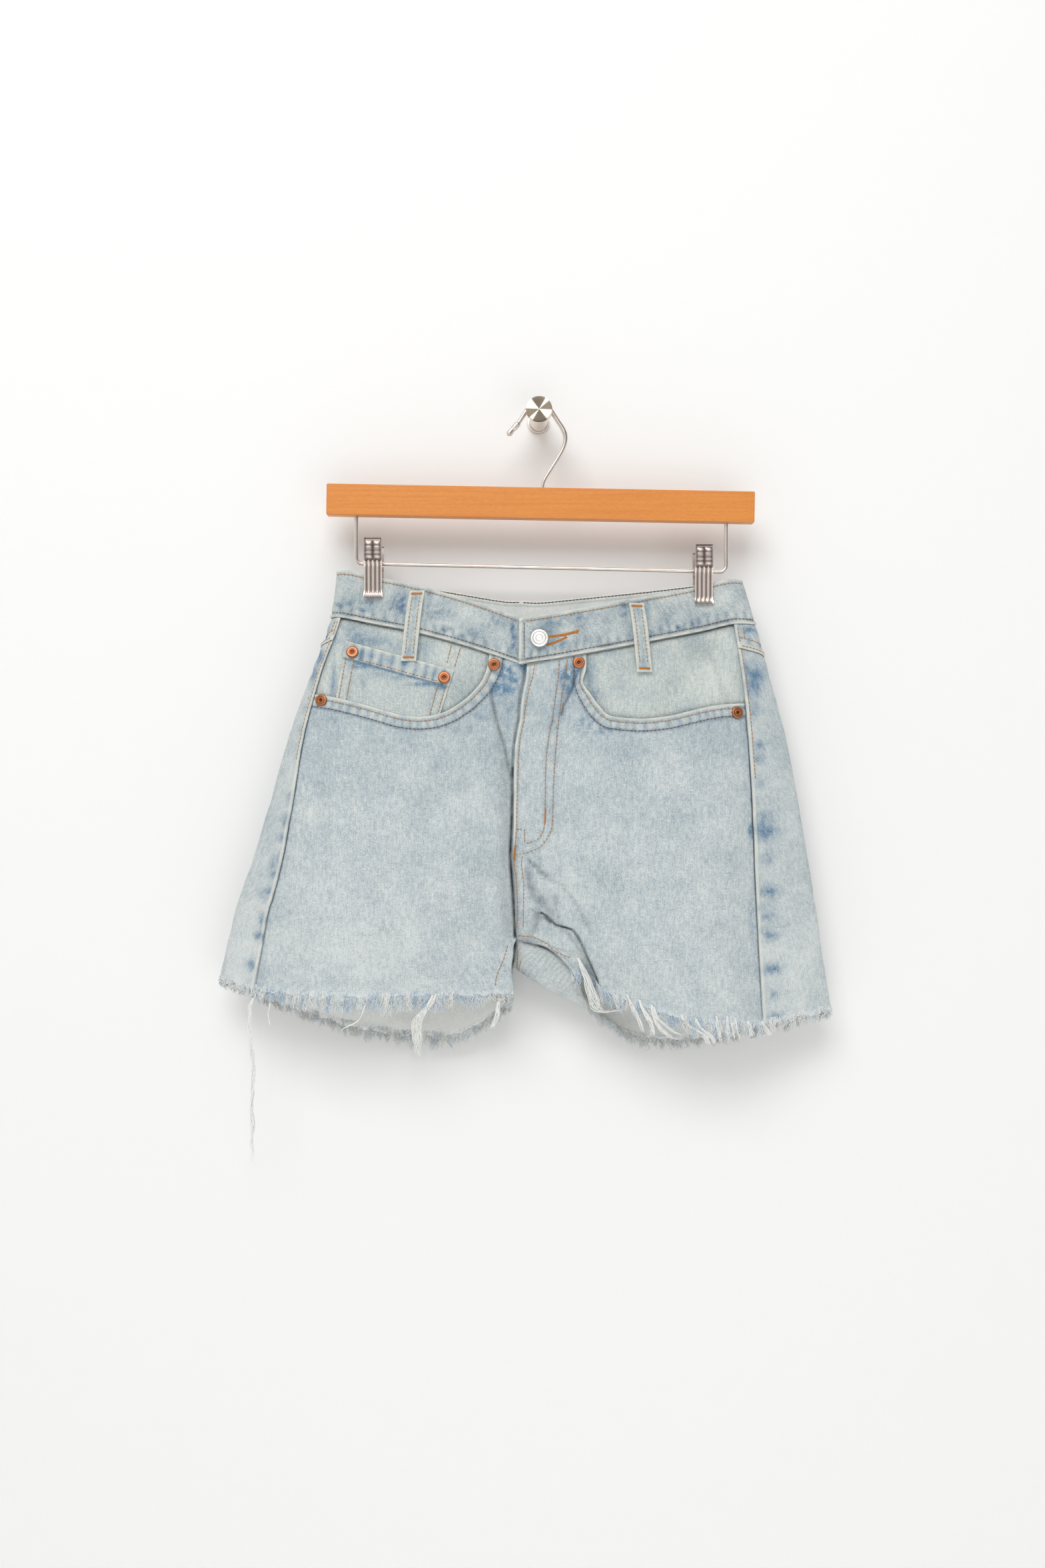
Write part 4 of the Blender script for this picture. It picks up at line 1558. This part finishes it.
across, down = np.full(40, 4.4 / BAND_END_MM), spread(0.1, 0.9, 40)
sew("brown", band_points("left", across, down, -0.05)[0], outward("left", across, down))
across = spread(EDGE, LAST, 220)
for half in SIDES:
    tall = np.interp(across, BAND_ROUND, band_height(half, BAND_ROUND))
    for height in INNER_ROWS:
        down = height / tall
        sew("brown", cloth(half, across, down, 2.1 - BAND_OUT), -outward(half, across, down), 3.0, 0.42)

u_rows = [row / COIN_WIDTH for row in COIN_ROWS]
for u in u_rows + [1 - u for u in u_rows]:
    x, z = coin_spots(u, spread(0.26, 0.97, 60))
    sew("gold", lay(x, z, -0.62, half="right"), facing_out("right", x, z))
u = spread(0.13, 0.9, 90)
tall = np.hypot(*(far - near for far, near in zip(coin_spots(u, 1.0), coin_spots(u, 0.0))))
x, z = coin_spots(u, COIN_BAND_ROW / tall)
sew("gold", lay(x, z, -0.35, half="right"), facing_out("right", x, z))
for line in (((-73, -197), (-77.5, -217)), ((-65.5, -200), (-71, -219))):
    places = place_of("right", *dense(line).T)
    sew("gold", cloth("right", *places, 2.1), outward("right", *places))

for name, at_back, top, foot in BELT_LOOPS:
    for side in (-1, 1):
        aside = side * (LOOP_WIDTH / 2 - LOOP_ROWS)
        points = loop_points(at_back, top, foot, aside, spread(0.08, 0.92, 60), -0.25)
        sew("gold", points, np.tile([0, 1.0 if at_back else -1.0, 0], (60, 1)))
print("rows in all:", sum(len(rows) for rows in SEWN.values()))

# %% [markdown]
# A bar tack is a few millimetres of thread laid side by side where a seam must not tear: at both ends of a
# loop, along the buttonhole and on the fly. Then all rows of one colour are joined into one mesh.

# %% Bar tacks, and the threads joined
for name, at_back, top, foot in BELT_LOOPS:
    length = math.dist(top, foot)
    for place in (3.0 / length, 1 - 2.8 / length):
        aside = spread(-LOOP_WIDTH / 2 + 1.6, LOOP_WIDTH / 2 - 1.6, 24)
        points = loop_points(at_back, top, foot, aside, place, -0.2)
        tack("orange", points, np.tile([0, 1.0 if at_back else -1.0, 0], (24, 1)), 2.4)
BUTTONHOLE = ((((6, -191.8), (19, -190.2), (31, -187.2)), 2.6), (((6, -198.6), (15, -195.4), (23, -191.5)), 2.2),
              (((30.2, -188.8), (32.2, -185.4)), 2.6))
for line, width in BUTTONHOLE:
    places = place_of("left", *dense(line, 0.5).T)
    tack("orange", band_points("left", *places, -0.1)[0], outward("left", *places), width)
for line in (((5.0, -333), (4.6, -346)), ((-18.5, -364.5), (-18.9, -376))):
    places = place_of("left", *dense(line, 0.5).T)
    tack("orange", dressed("front", "left", *places, -0.05)[0], outward("left", *places), 1.8)

for colour, finish in (("gold", GOLD), ("brown", BROWN), ("orange", ORANGE)):
    name, (points, faces) = "stitches_" + colour, gathered(SEWN[colour])
    add_piece(name, mesh_of(name, points, faces), [finish], [])
    print(colour, "thread:", len(points) // 25, "stitches")

# %% [markdown]
# ## Frayed hems
# Where denim is cut and left raw, the sideways weft threads fall out and the warp threads below the last
# weft hang free: a fringe of fine blue and white cotton, matted into little locks by washing. We grow about
# five threads to the millimetre. Each belongs to a lock that gives it a lean, a length and a tint, and it
# curls a little for itself. They start inside the cloth's cut edge, so none of them floats.

# %% Cotton threads
THREAD_RADIUS = 0.31
THREADS_PER_MM = 4.8


def bundle(paths, radii, sides=3):
    """Thin tubes along many paths at once: points and faces."""
    ahead = unit(np.gradient(paths, axis=1))
    aside = unit(np.cross(ahead, (0.13, 0.99, 0.05)))
    other = np.cross(ahead, aside)
    radii = np.asarray(radii, float)[:, None]
    rings = np.stack([paths + radii * (math.cos(a) * aside + math.sin(a) * other)
                      for a in spread(0, 2 * math.pi, sides + 1)[:-1]], axis=2)
    return rings.reshape(-1, 3), tube_quads(rings.shape[:3])


def cotton():
    """Loose washed cotton: white weft and faded blue warp, matt and slightly fuzzy."""
    made, tree, shader = new_finish("frayed_cotton", Roughness=0.95, Specular_IOR_Level=0.15, Sheen_Weight=0.55)
    tint = node(tree, "Attribute", {"attribute_name": "tint"}).outputs["Fac"]
    ramp = node(tree, "ValToRGB", sockets={0: tint})
    stops = ramp.color_ramp.elements
    stops[0].color, stops[1].color = linear("#FBFAF4"), linear("#A9C2D6")
    stops.new(0.4).color = linear("#DAE6EE")
    tree.links.new(ramp.outputs[0], shader.inputs["Base Color"])
    return made


COTTON = cotton()
# How long the fringe is at some x, front and back.
FRINGE_LENGTHS = {
    ("right", False): ((-245, 10), (-215, 13), (-180, 17), (-100, 18), (-62, 14), (-36, 12)),
    ("right", True): ((-250, 10), (-180, 13), (-100, 15), (-45, 13), (-24, 12)),
    ("left", False): ((30, 13), (60, 15), (100, 13), (140, 15), (185, 13), (240, 10)),
    ("left", True): ((44, 13), (100, 13), (180, 12), (240, 10)),
}


def fringe_threads(half, chance):
    """Paths and tints of the fringe of one leg."""
    columns = spread(0, LAST, 1100)
    edge = cloth(half, columns, HEM)
    tangent = unit(np.gradient(edge, axis=0))
    down = unit(edge - cloth(half, columns, HEM - 0.4))
    normal = unit(np.cross(down, tangent) * SIDES[half])
    run = run_along(edge)
    count = int(run[-1] * THREADS_PER_MM)
    place = np.sort(chance.uniform(1.0, run[-1] - 1.0, count))
    column = np.interp(place, run, columns)
    root = cloth(half, column, HEM - 0.10 - 0.08 * chance.random(count), chance.uniform(-0.25, 1.1, count))
    root += pulled_aside(half, root, column)[:, None] * (1.0, -0.14, 0.0)
    tangent, down, normal = (values_at(place, run, vectors) for vectors in (tangent, down, normal))
    locks = np.cumsum(chance.uniform(2.0, 6.5, int(run[-1] / 3.5)))
    own = np.clip(np.searchsorted(locks, place), 0, len(locks) - 1)
    lean, size = chance.normal(0, 1.6, len(locks))[own], chance.uniform(0.8, 1.2, len(locks))[own]
    stand, shade = chance.uniform(-0.8, 1.2, len(locks))[own], chance.uniform(0.0, 0.7, len(locks))[own]
    base = np.zeros(count)
    for back in (False, True):
        x, lengths = np.array(FRINGE_LENGTHS[half, back], float).T
        base = np.where((column > SEAM) == back, np.interp(root[:, 0], x, lengths), base)
    shade = np.where(column > SEAM, shade * 0.35, shade)
    length = (base * size * chance.uniform(0.55, 1.05, count))[:, None]
    pull = (locks[own] - 1.8 - place) * chance.uniform(-0.1, 0.4, count) + lean
    curl, twist = chance.uniform(0.9, 2.6, count), chance.uniform(0.8, 2.1, count)
    turn = chance.uniform(0, 6.28, count)
    stations = []
    for s in spread(0, 1, 6):
        heading = unit(down * (1 - 0.6 * s) + np.array((0, 0, -0.6 * s)))
        wave = curl * s ** 0.7
        aside = pull * s ** 1.3 + wave * np.sin(6.28 * twist * s + turn)
        out = stand * s + wave * np.cos(6.28 * twist * s + 1.7 * turn)
        stations.append(root + heading * length * s + tangent * aside[:, None] + normal * out[:, None])
    return np.stack(stations, axis=1), np.clip(shade + chance.normal(0, 0.15, count), 0, 1)


print("cotton threads:", THREADS_PER_MM, "to the millimetre")

# %% [markdown]
# Here and there whole bundles of white weft threads have come out. Each is given by the line it hangs
# along, in x and z, with its number of threads and how wide it spreads.

# %% Loose bundles
LOCKS = (
    ("left", 70, 5.0, ((32, -457), (38.9, -473), (44.4, -489.7), (49.2, -501), (57, -501.5), (67, -499))),
    ("left", 14, 1.5, ((72, -486), (75.1, -493.8), (80.1, -503.2), (85.6, -518.5))),
    ("left", 22, 2.0, ((82, -490), (85.6, -499.3), (92.2, -510.3), (93.8, -521.3))),
    ("left", 20, 2.0, ((92, -494), (93.8, -503.2), (99.3, -514.2), (110.3, -522.4))),
    ("left", 16, 1.7, ((94, -496), (97.7, -505.9), (107.5, -514.2), (115.8, -519.7))),
    ("left", 20, 2.0, ((116, -502), (121.3, -510.3), (135, -518.5), (138.9, -527.9))),
    ("left", 16, 1.7, ((128, -505), (132.3, -513), (140.5, -519.6), (144.4, -526.8))),
    ("left", 12, 1.3, ((145, -503), (146, -511.4), (148.8, -525.1))),
    ("left", 12, 1.3, ((154, -503), (154.3, -510.3), (155.4, -524))),
    ("left", 4, 0.6, ((157, -504), (158.1, -511.4), (160.9, -524))),
    ("left", 4, 0.6, ((161, -505), (162.5, -514.1), (164.7, -523))),
    ("left", 12, 1.8, ((172, -508), (173.5, -514), (175.5, -521.5))),
    ("left", 13, 1.8, ((184, -509), (187.2, -515.0), (191.1, -521.8))),
    ("right", 40, 2.7, ((-88, -487), (-93, -497), (-100.5, -505.5), (-103, -514), (-101.5, -526), (-99.5, -538))),
    ("right", 26, 2.2, ((-85, -486), (-89.5, -495), (-96.5, -503), (-99.5, -514), (-98.6, -531))),
    ("right", 4, 0.5, ((-143, -494), (-146, -503.2), (-150.8, -508.7), (-160.6, -513.1), (-164.5, -518))),
    ("right", 20, 1.9, ((-31, -486), (-34, -496.6), (-35.3, -507.6), (-40.8, -517))),
    ("right", 3, 0.4, ((-222, -494), (-223.3, -503.2), (-221.7, -514.1))),
    ("right", 9, 1.1, ((-237, -490), (-240, -501), (-239, -526), (-236.5, -548), (-237.6, -570), (-237.6, -603),
                       (-238, -636))),
)


def lock_paths(half, count, wide, line, chance):
    """Threads of one bundle, which lie together, cross and end unevenly; a long one is kinked."""
    line = np.array(line, float)
    kink_size = 1.1 if len(line) > 6 else 0.35
    stations = max(14, int(run_along(line)[-1] / 2.2))
    s = spread(0, 1, stations)
    middle = curve_points(line, s * (len(line) - 1))
    across, down = place_of(half, line[:1, 0], line[:1, 1])
    depth = cloth(half, across, np.minimum(down, HEM), -0.4)[0, 1] - 0.4
    paths = []
    for _ in range(count):
        spot = values_at(s * chance.uniform(0.86, 1.0), s, middle)
        swell = wide * (0.12 + 0.88 * np.sin(np.clip(s * 2.6, 0, math.pi / 2))) * math.sqrt(chance.random())
        turn = chance.uniform(0, 6.28) + chance.uniform(-5, 5) * s + 0.5 * np.sin(9 * s + chance.uniform(0, 6))
        kink = kink_size * np.sin(s * stations * chance.uniform(0.5, 1.1) + chance.uniform(0, 6))
        x = spot[:, 0] + swell * np.cos(turn) + kink
        paths.append(np.stack([x, depth + 0.6 * swell * np.sin(turn), spot[:, 1]], axis=1))
    return np.stack(paths)


TAPER = (1.0, 1.0, 1.0, 0.95, 0.85, 0.35)
for half, seed in (("right", 101), ("left", 202)):
    paths, tints = fringe_threads(half, np.random.default_rng(seed))
    parts, all_tints = [bundle(paths, THREAD_RADIUS * np.array(TAPER))], [np.repeat(tints, 3 * len(TAPER))]
    chance = np.random.default_rng(seed)
    for owner, count, wide, line in LOCKS:
        if owner == half:
            paths = lock_paths(half, count, wide, line, chance)
            stations = paths.shape[1]
            parts.append(bundle(paths, THREAD_RADIUS * 1.15 * np.clip(spread(14, 0.3, stations), 0.3, 1)))
            all_tints.append(np.repeat(chance.uniform(0, 0.16, count), 3 * stations))
    name, (points, faces) = "fringe_threads_" + half, gathered(parts)
    mesh = mesh_of(name, points, faces)
    set_values(mesh, {"tint": np.concatenate(all_tints)})
    add_piece(name, mesh, [COTTON], ["fringe_" + half])
    print(half, "fringe:", len(tints), "threads,", 2 * len(faces), "triangles")

# %% [markdown]
# ## Rivets and button
# Copper rivets hold the pocket corners. Each is a small turned dome with a burred hollow in the middle,
# rubbed bright on its rim and dark where polish never reaches. The button is a plain zinc one with a raised
# rim and a ring round its middle. Both are turned from a profile; a number stored round the profile says
# where the metal is dull.

# %% Metals
def metal(name, bright, dull, roughness, grain_mm):
    """A worn metal: bright where it is rubbed, dull in its hollows, with fine scratches."""
    made, tree, shader = new_finish(name, Metallic=1.0)
    place = node(tree, "TexCoord").outputs["Object"]
    scratch = node(tree, "TexNoise", sockets={"Vector": place, "Scale": 1000 / grain_mm, "Detail": 2.0})
    hollow = node(tree, "Attribute", {"attribute_name": "hollow"}).outputs["Fac"]
    share = node(tree, "Math", {"operation": "MULTIPLY_ADD", "use_clamp": True},
                 {0: scratch, 1: 0.25, 2: hollow})
    share = node(tree, "Math", {"operation": "SUBTRACT", "use_clamp": True}, {0: share, 1: 0.12})
    colour = node(tree, "Mix", {"data_type": "RGBA"}, {0: share, 6: linear(bright), 7: linear(dull)})
    tree.links.new(colour.outputs[2], shader.inputs["Base Color"])
    rough = node(tree, "Math", {"operation": "MULTIPLY_ADD"}, {0: scratch, 1: 0.14, 2: roughness - 0.07})
    tree.links.new(rough.outputs[0], shader.inputs["Roughness"])
    relief = node(tree, "Bump", sockets={"Height": scratch, "Strength": 0.1, "Distance": 0.0001})
    tree.links.new(relief.outputs[0], shader.inputs["Normal"])
    return made


COPPER = metal("worn_copper", "#BE7A55", "#4A2F24", 0.42, 0.9)
ZINC = metal("frosted_zinc", "#FBFAF8", "#A9A49C", 0.5, 1.2)
PLATED = metal("nickel_plated_steel", "#F8E8E0", "#3C302D", 0.33, 1.5)
DRAWN_WIRE = metal("plated_steel_wire", "#EDE4DC", "#6E635C", 0.34, 9.0)


def turned(name, profile, steps, finish, slot, spot, axes):
    """A piece turned from (radius, height, hollow) points, standing on a spot along the last of its axes."""
    profile = np.array(profile, float)
    fine = curve_points(profile, spread(0, len(profile) - 1, 4 * len(profile)))
    turn = spread(0, 2 * math.pi, steps + 1)[:-1]
    radius = np.maximum(fine[:, 0], 0.02)
    rings = np.stack([np.outer(radius, np.cos(turn)), np.outer(radius, np.sin(turn)),
                      np.tile(fine[:, 1:2], (1, steps))], axis=-1)
    k = np.arange(rings.size // 3).reshape(rings.shape[:2])
    around = np.roll(k, -1, axis=1)
    faces = np.stack([k[:-1], k[1:], around[1:], around[:-1]], axis=-1).reshape(-1, 4)
    mesh = mesh_of(name, rings.reshape(-1, 3) @ axes + spot, faces)
    set_values(mesh, {"hollow": np.repeat(np.clip(fine[:, 2], 0, 1), steps)})
    return add_piece("turned_" + name, mesh, [finish], [name])


def standing(half, x, z, lift):
    """A spot on the cloth and three axes with the last one pointing out of it."""
    across, down = place_of(half, np.array([x], float), np.array([z], float))
    out = outward(half, across, down)[0]
    aside = unit(np.cross((0, 0, 1.0), out))
    return cloth(half, across, down, -lift)[0], np.array([aside, np.cross(out, aside), out])


RIVETS = (
    ("rivet_right_side", -181.0, -243.5), ("rivet_right_front", -37.3, -214.6),
    ("rivet_left_front", 32.5, -213.0), ("rivet_left_side", 164.5, -253.7),
    ("rivet_coin_outer", -155.7, -203.4), ("rivet_coin_inner", -78.3, -225.5),
)
RIVET_PROFILE = ((0, 0.7, 1), (0.7, 0.7, 1), (1.25, 0.8, 0.9), (1.6, 1.35, 0.0), (2.1, 1.5, 0.0), (2.6, 1.2, 0.5),
                 (3.3, 1.2, 0.25), (4.2, 1.15, 0.0), (4.8, 0.8, 0.1), (5.0, 0.3, 0.6), (5.0, -0.2, 1))
for name, x, z in RIVETS:
    place = standing("right" if x < 0 else "left", x, z, 1.6 if "coin" in name else 0.9)
    turned(name, RIVET_PROFILE, 28, COPPER, "copper", *place)
BUTTON_PROFILE = ((0, 3.3, 0.1), (2.2, 3.3, 0.1), (2.9, 3.25, 0.6), (3.3, 3.6, 0.0), (4.6, 3.55, 0.15),
                  (5.2, 3.5, 0.7), (5.8, 3.9, 0.0), (6.7, 3.9, 0.0), (7.3, 3.4, 0.1), (7.4, 2.6, 0.4),
                  (6.6, 2.0, 1), (2.7, 1.5, 1), (2.6, -0.4, 1))
turned("button", BUTTON_PROFILE, 48, ZINC, "zinc", *standing("left", -0.2, -193.2, 0.9))
print("6 rivets, 10 mm across, and a 15 mm button")

# %% [markdown]
# ## The hanger
# The bar is planed wood with its edges softened; the CAD solid has that shape already, so it only needs the
# wood. Sawn along the trunk, the grain runs the length of the bar: long streaks of darker late wood a
# millimetre or two apart, and short pores. A coat of clear lacquer gives a soft gloss.

# %% Wood
def lacquered_wood():
    """Warm orange-brown wood under satin lacquer, its grain along X."""
    made, tree, shader = new_finish("lacquered_beech", Roughness=0.42, Coat_Weight=0.35, Coat_Roughness=0.25)
    place = node(tree, "TexCoord").outputs["Object"]

    def grain(length, width, detail):
        sizes = (1000 / length, 1000 / width, 1000 / width)
        scale = node(tree, "Mapping", sockets={"Vector": place, "Scale": sizes})
        return node(tree, "TexNoise", sockets={"Vector": scale, "Scale": 1.0, "Detail": detail, "Roughness": 0.6})

    rings, pores = grain(110.0, 2.2, 4.0), grain(3.0, 0.6, 2.0)
    tone = node(tree, "Math", {"operation": "MULTIPLY_ADD"}, {0: pores, 1: 0.8, 2: -0.40})
    share = node(tree, "Math", {"operation": "ADD", "use_clamp": True}, {0: rings, 1: tone})
    ramp = node(tree, "ValToRGB", sockets={0: share})
    for stop, position, code in zip(ramp.color_ramp.elements, (0.15, 0.85), ("#D27A26", "#E6943C")):
        stop.position, stop.color = position, linear(code)
    tree.links.new(ramp.outputs[0], shader.inputs["Base Color"])
    relief = node(tree, "Bump", sockets={"Height": share, "Strength": 0.25, "Distance": 0.0002})
    tree.links.new(relief.outputs[0], shader.inputs["Normal"])
    return made


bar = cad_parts["hanger_bar"]
bar.data.materials.clear()
bar.data.materials.append(lacquered_wood())
print("the bar is %.0f mm long" % (bar.dimensions.x / MM))

# %% [markdown]
# The hook and the clip wire are bent from plated steel wire. A round wire needs a smooth path more than
# anything, so the same knots as in the solid are joined by a curve with many short steps. The hook's tip
# carries a pressed sleeve, so that it doesn't scratch.

# %% Hook and wire
HANGER_Y = -40.0
HOOK_ROUTE = ((-26.5, -19.5), (-23.2, -15.2), (-17.5, -8.8), (-11.0, 1.0), (-6.5, 7.6), (0, 10.2), (6.5, 7.8),
              (10.8, 1.0), (15.5, -6.5), (20.5, -14.5), (22.3, -21.5), (20.6, -29.5), (15.5, -39), (8.8, -49.5),
              (4.2, -57.5), (2.7, -64.5))
WIRE_ENDS = ((-154.0, -127.2), (157.8, -134.0))
WIRE_BEND = 5.0


def rod(path, radii, sides=16):
    """A round rod along a path in x and z, closed by narrowing at both ends."""
    path = np.array(path, float)
    points = np.stack([path[:, 0], np.full(len(path), HANGER_Y), path[:, 1]], axis=1)
    return bundle(points[None], radii, sides)


def wire_piece(name, rods, node_name):
    """One piece from several rods; a dark streak runs where the wire mirrors an unlit room."""
    mesh = mesh_of(name, *gathered(rods))
    facing = np.array([vertex.normal @ Vector((0.35, -0.93, 0.1)) for vertex in mesh.vertices])
    set_values(mesh, {"hollow": 0.75 * np.exp(-((1 - facing) / 0.10) ** 2)})
    add_piece(name, mesh, [DRAWN_WIRE], [node_name])


route = curve_points(np.array(HOOK_ROUTE), spread(0, len(HOOK_ROUTE) - 1, 150))
thick = np.interp(spread(0, 1, 150), (0, 0.45, 0.62, 0.75, 1), (1.9, 2.0, 2.2, 1.7, 1.4))
thick[[0, -1]], thick[[1, -2]] = 0.05, 1.4
sleeve_thick = 2.7 + 0.3 * np.cos(spread(0, 2 * math.pi, 20)) ** 3
sleeve_thick[[0, -1]], sleeve_thick[[1, -2]] = 0.05, 2.3
wire_piece("hook_with_sleeve", [rod(route, thick), rod(route[2:22], sleeve_thick)], "hanger_hook")

BAR_FOOT = (-86.8, -92.6)            # just inside the bar's underside, where the wire enters it
wire = []
for (x, z), foot_z, inwards in zip(WIRE_ENDS, BAR_FOOT, (1, -1)):
    turns = spread(0, math.pi / 2, 9)
    bend = [(x + inwards * WIRE_BEND * (1 - math.cos(a)), z + WIRE_BEND * (1 - math.sin(a))) for a in turns]
    wire += [(x, foot_z)] + bend if inwards > 0 else bend[::-1] + [(x, foot_z)]
wire_piece("clip_wire", [rod(wire, np.full(len(wire), 1.7))], "hanger_wire")
print("hook wire %.0f mm, clip wire %.0f mm" % (run_along(route)[-1], run_along(np.array(wire))[-1]))

# %% [markdown]
# A clip is two pressed jaws over a spring. The steel is stamped with ribs for the thumb at the top and
# with flutes below, which stiffen it, and the lip at its foot flares out so that it slides over cloth.
# Stamping leaves bright crests and dark grooves, which the plating's tarnish deepens.

# %% Clips
JAW_OUTER = ((6.3, 0), (6.6, -3), (5.6, -18), (3.4, -24), (2.6, -38), (2.3, -44), (3.4, -49))
JAW_INNER = ((5.0, -0.4), (5.1, -3), (4.2, -17), (2.0, -24), (1.0, -38), (0.5, -45), (2.4, -49.3))
RIBS_BELOW_TOP = (4.5, 8.3, 12.2, 15.9)
FLUTE_MM = 3.6
CLIP_WIDTH = 15.0
JAW_DEPTH = 6.6                      # from the cloth to the jaw's outermost point
CLIP_PLACES = {"right": -139.0, "left": 138.0}


def clip_jaw(half, face, side, size):
    """One stamped jaw; side -1 faces the room and 1 the wall."""
    name = "clip_%s_%s" % (half, face)
    low, high = (np.array(corner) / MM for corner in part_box(name))
    cloth_y = high[1] - JAW_DEPTH if side > 0 else low[1] + JAW_DEPTH
    v, u = np.meshgrid(spread(0, 1, 64), spread(-1, 1, 35), indexing="ij")
    outer, inner = (curve_points(np.array(line, float), v * (len(line) - 1)) for line in (JAW_OUTER, JAW_INNER))
    below = -outer[..., 1]
    x = u * (CLIP_WIDTH / 2 + 0.6 * np.clip((below - 45) / 4, 0, 1))
    # Thumb ribs at the top, flutes below them, and a plain lip at the foot.
    top_part = 1 / (1 + np.exp((below - 18.2) / 0.5))
    lip = 1 / (1 + np.exp((46.2 - below) / 0.5))
    ribs = sum(ridge(below, rib, 1.25, 1.0) for rib in RIBS_BELOW_TOP) * np.exp(-((np.abs(x) - 3.4) / 2.7) ** 4)
    flutes = 0.5 + 0.5 * np.cos(2 * math.pi * x / FLUTE_MM)
    relief = top_part * (ribs - 0.25) + (1 - top_part) * (0.75 * flutes - 0.3) * (1 - lip)
    relief -= ridge(below, 18.4, 0.9, 0.5) + ridge(below, 0.4, 1.0, 0.5)
    rolled = ridge(np.abs(u), 1.0, 0.10, 1.0)
    relief = relief * (1 - rolled) + rolled * 0.3
    hollow = top_part * (1 - ribs) + (1 - top_part) * (1 - lip) * (1 - flutes) ** 2 * 0.85 + lip * 0.22
    hollow += ridge(below, 48.3, 1.3, 0.9) + ridge(below, 0.8, 1.5, 0.9) + ridge(below, 18.4, 0.9, 0.6)
    hollow = np.clip(hollow, 0, 1) * (1 - rolled * 0.9)
    grids = [np.stack([CLIP_PLACES[half] + x, cloth_y + side * depth, high[2] + line[..., 1] * size], axis=-1)
             for line, depth in ((outer, outer[..., 0] + relief), (inner, inner[..., 0]))]
    mesh = mesh_of(name, *closed(*grids, side))
    mesh.set_sharp_from_angle(angle=math.radians(50))
    set_values(mesh, {"hollow": np.concatenate([hollow.ravel(), np.full(hollow.size, 0.5)])})
    return add_piece("stamped_" + name, mesh, [PLATED], [name])


CLIP_PIECES = [clip_jaw(half, face, side, size)
               for half in SIDES for face, side, size in (("front", -1, 1.0), ("back", 1, 0.91))]
print("clip jaws:", [made.name for made in CLIP_PIECES])

# %% [markdown]
# ## The wall peg
# The peg is turned from stainless steel. Its face was finished by rubbing outwards from the middle in four
# strokes, which leaves wedges that look dark or bright as the light meets the scratches along or across.
# The wedges are painted by angle round the peg's own axis, under scratches that also point outwards.

# %% Peg
PEG_REACH = 54.0
WEDGES = ((0.0, "#7A7164"), (0.21, "#7A7164"), (0.25, "#F0E8D8"), (0.31, "#F0E8D8"), (0.35, "#756C60"),
          (0.69, "#756C60"), (0.735, "#F4EDDE"), (0.965, "#F4EDDE"), (1.0, "#7A7164"))


def brushed_steel():
    """Satin stainless steel, brushed outwards from the peg's axis on its face."""
    made, tree, shader = new_finish("brushed_stainless_steel", Metallic=1.0, Roughness=0.38, Anisotropic=0.4)
    place = node(tree, "TexCoord").outputs["Object"]
    parts = node(tree, "SeparateXYZ", sockets={0: place})
    angle = node(tree, "Math", {"operation": "ARCTAN2"}, {0: parts.outputs[2], 1: parts.outputs[0]})
    half_turns = node(tree, "Math", {"operation": "MULTIPLY_ADD"}, {0: angle, 1: 1 / math.pi, 2: 1.0})
    share = node(tree, "Math", {"operation": "FRACT"}, {0: half_turns})
    ramp = node(tree, "ValToRGB", sockets={0: share})
    stops = ramp.color_ramp.elements
    stops.remove(stops[1])
    for position, code in WEDGES:
        stop = stops.new(position) if position else stops[0]
        stop.color = linear(code)
    forward = node(tree, "Math", {"operation": "LESS_THAN"}, {0: parts.outputs[1], 1: (0.5 - PEG_REACH) * MM})
    colour = node(tree, "Mix", {"data_type": "RGBA"}, {0: forward, 6: linear("#E4DBD2"), 7: ramp.outputs[0]})
    tree.links.new(colour.outputs[2], shader.inputs["Base Color"])
    tangent = node(tree, "Tangent", {"direction_type": "RADIAL", "axis": "Y"})
    tree.links.new(tangent.outputs[0], shader.inputs["Tangent"])
    by_angle = node(tree, "CombineXYZ", sockets={0: angle, 1: 0.0, 2: 0.0})
    scratch = node(tree, "TexNoise", sockets={"Vector": by_angle, "Scale": 60.0, "Detail": 3.0})
    relief = node(tree, "Bump", sockets={"Height": scratch, "Strength": 0.12, "Distance": 0.0002})
    tree.links.new(relief.outputs[0], shader.inputs["Normal"])
    return made


PEG_PROFILE = ((0, PEG_REACH), (5, PEG_REACH), (10.2, PEG_REACH), (10.75, 53.8), (11, 53.2), (11, 51), (11, 49.4),
               (10.6, 49), (8.3, 48.6), (7.9, 48.1), (7.9, 30), (7.9, 4.4), (8.1, 4.1), (9, 3.9), (9.3, 3.6),
               (9.3, 1), (9.3, 0))
OUT_OF_WALL = np.array([[1.0, 0, 0], [0, 0, 1], [0, -1, 0]])
peg = turned("wall_peg", [point + (0,) for point in PEG_PROFILE], 80, brushed_steel(), "peg_steel", np.zeros(3),
             OUT_OF_WALL)
peg.data.set_sharp_from_angle(angle=math.radians(40))
print("the peg reaches %.0f mm from the wall" % PEG_REACH)
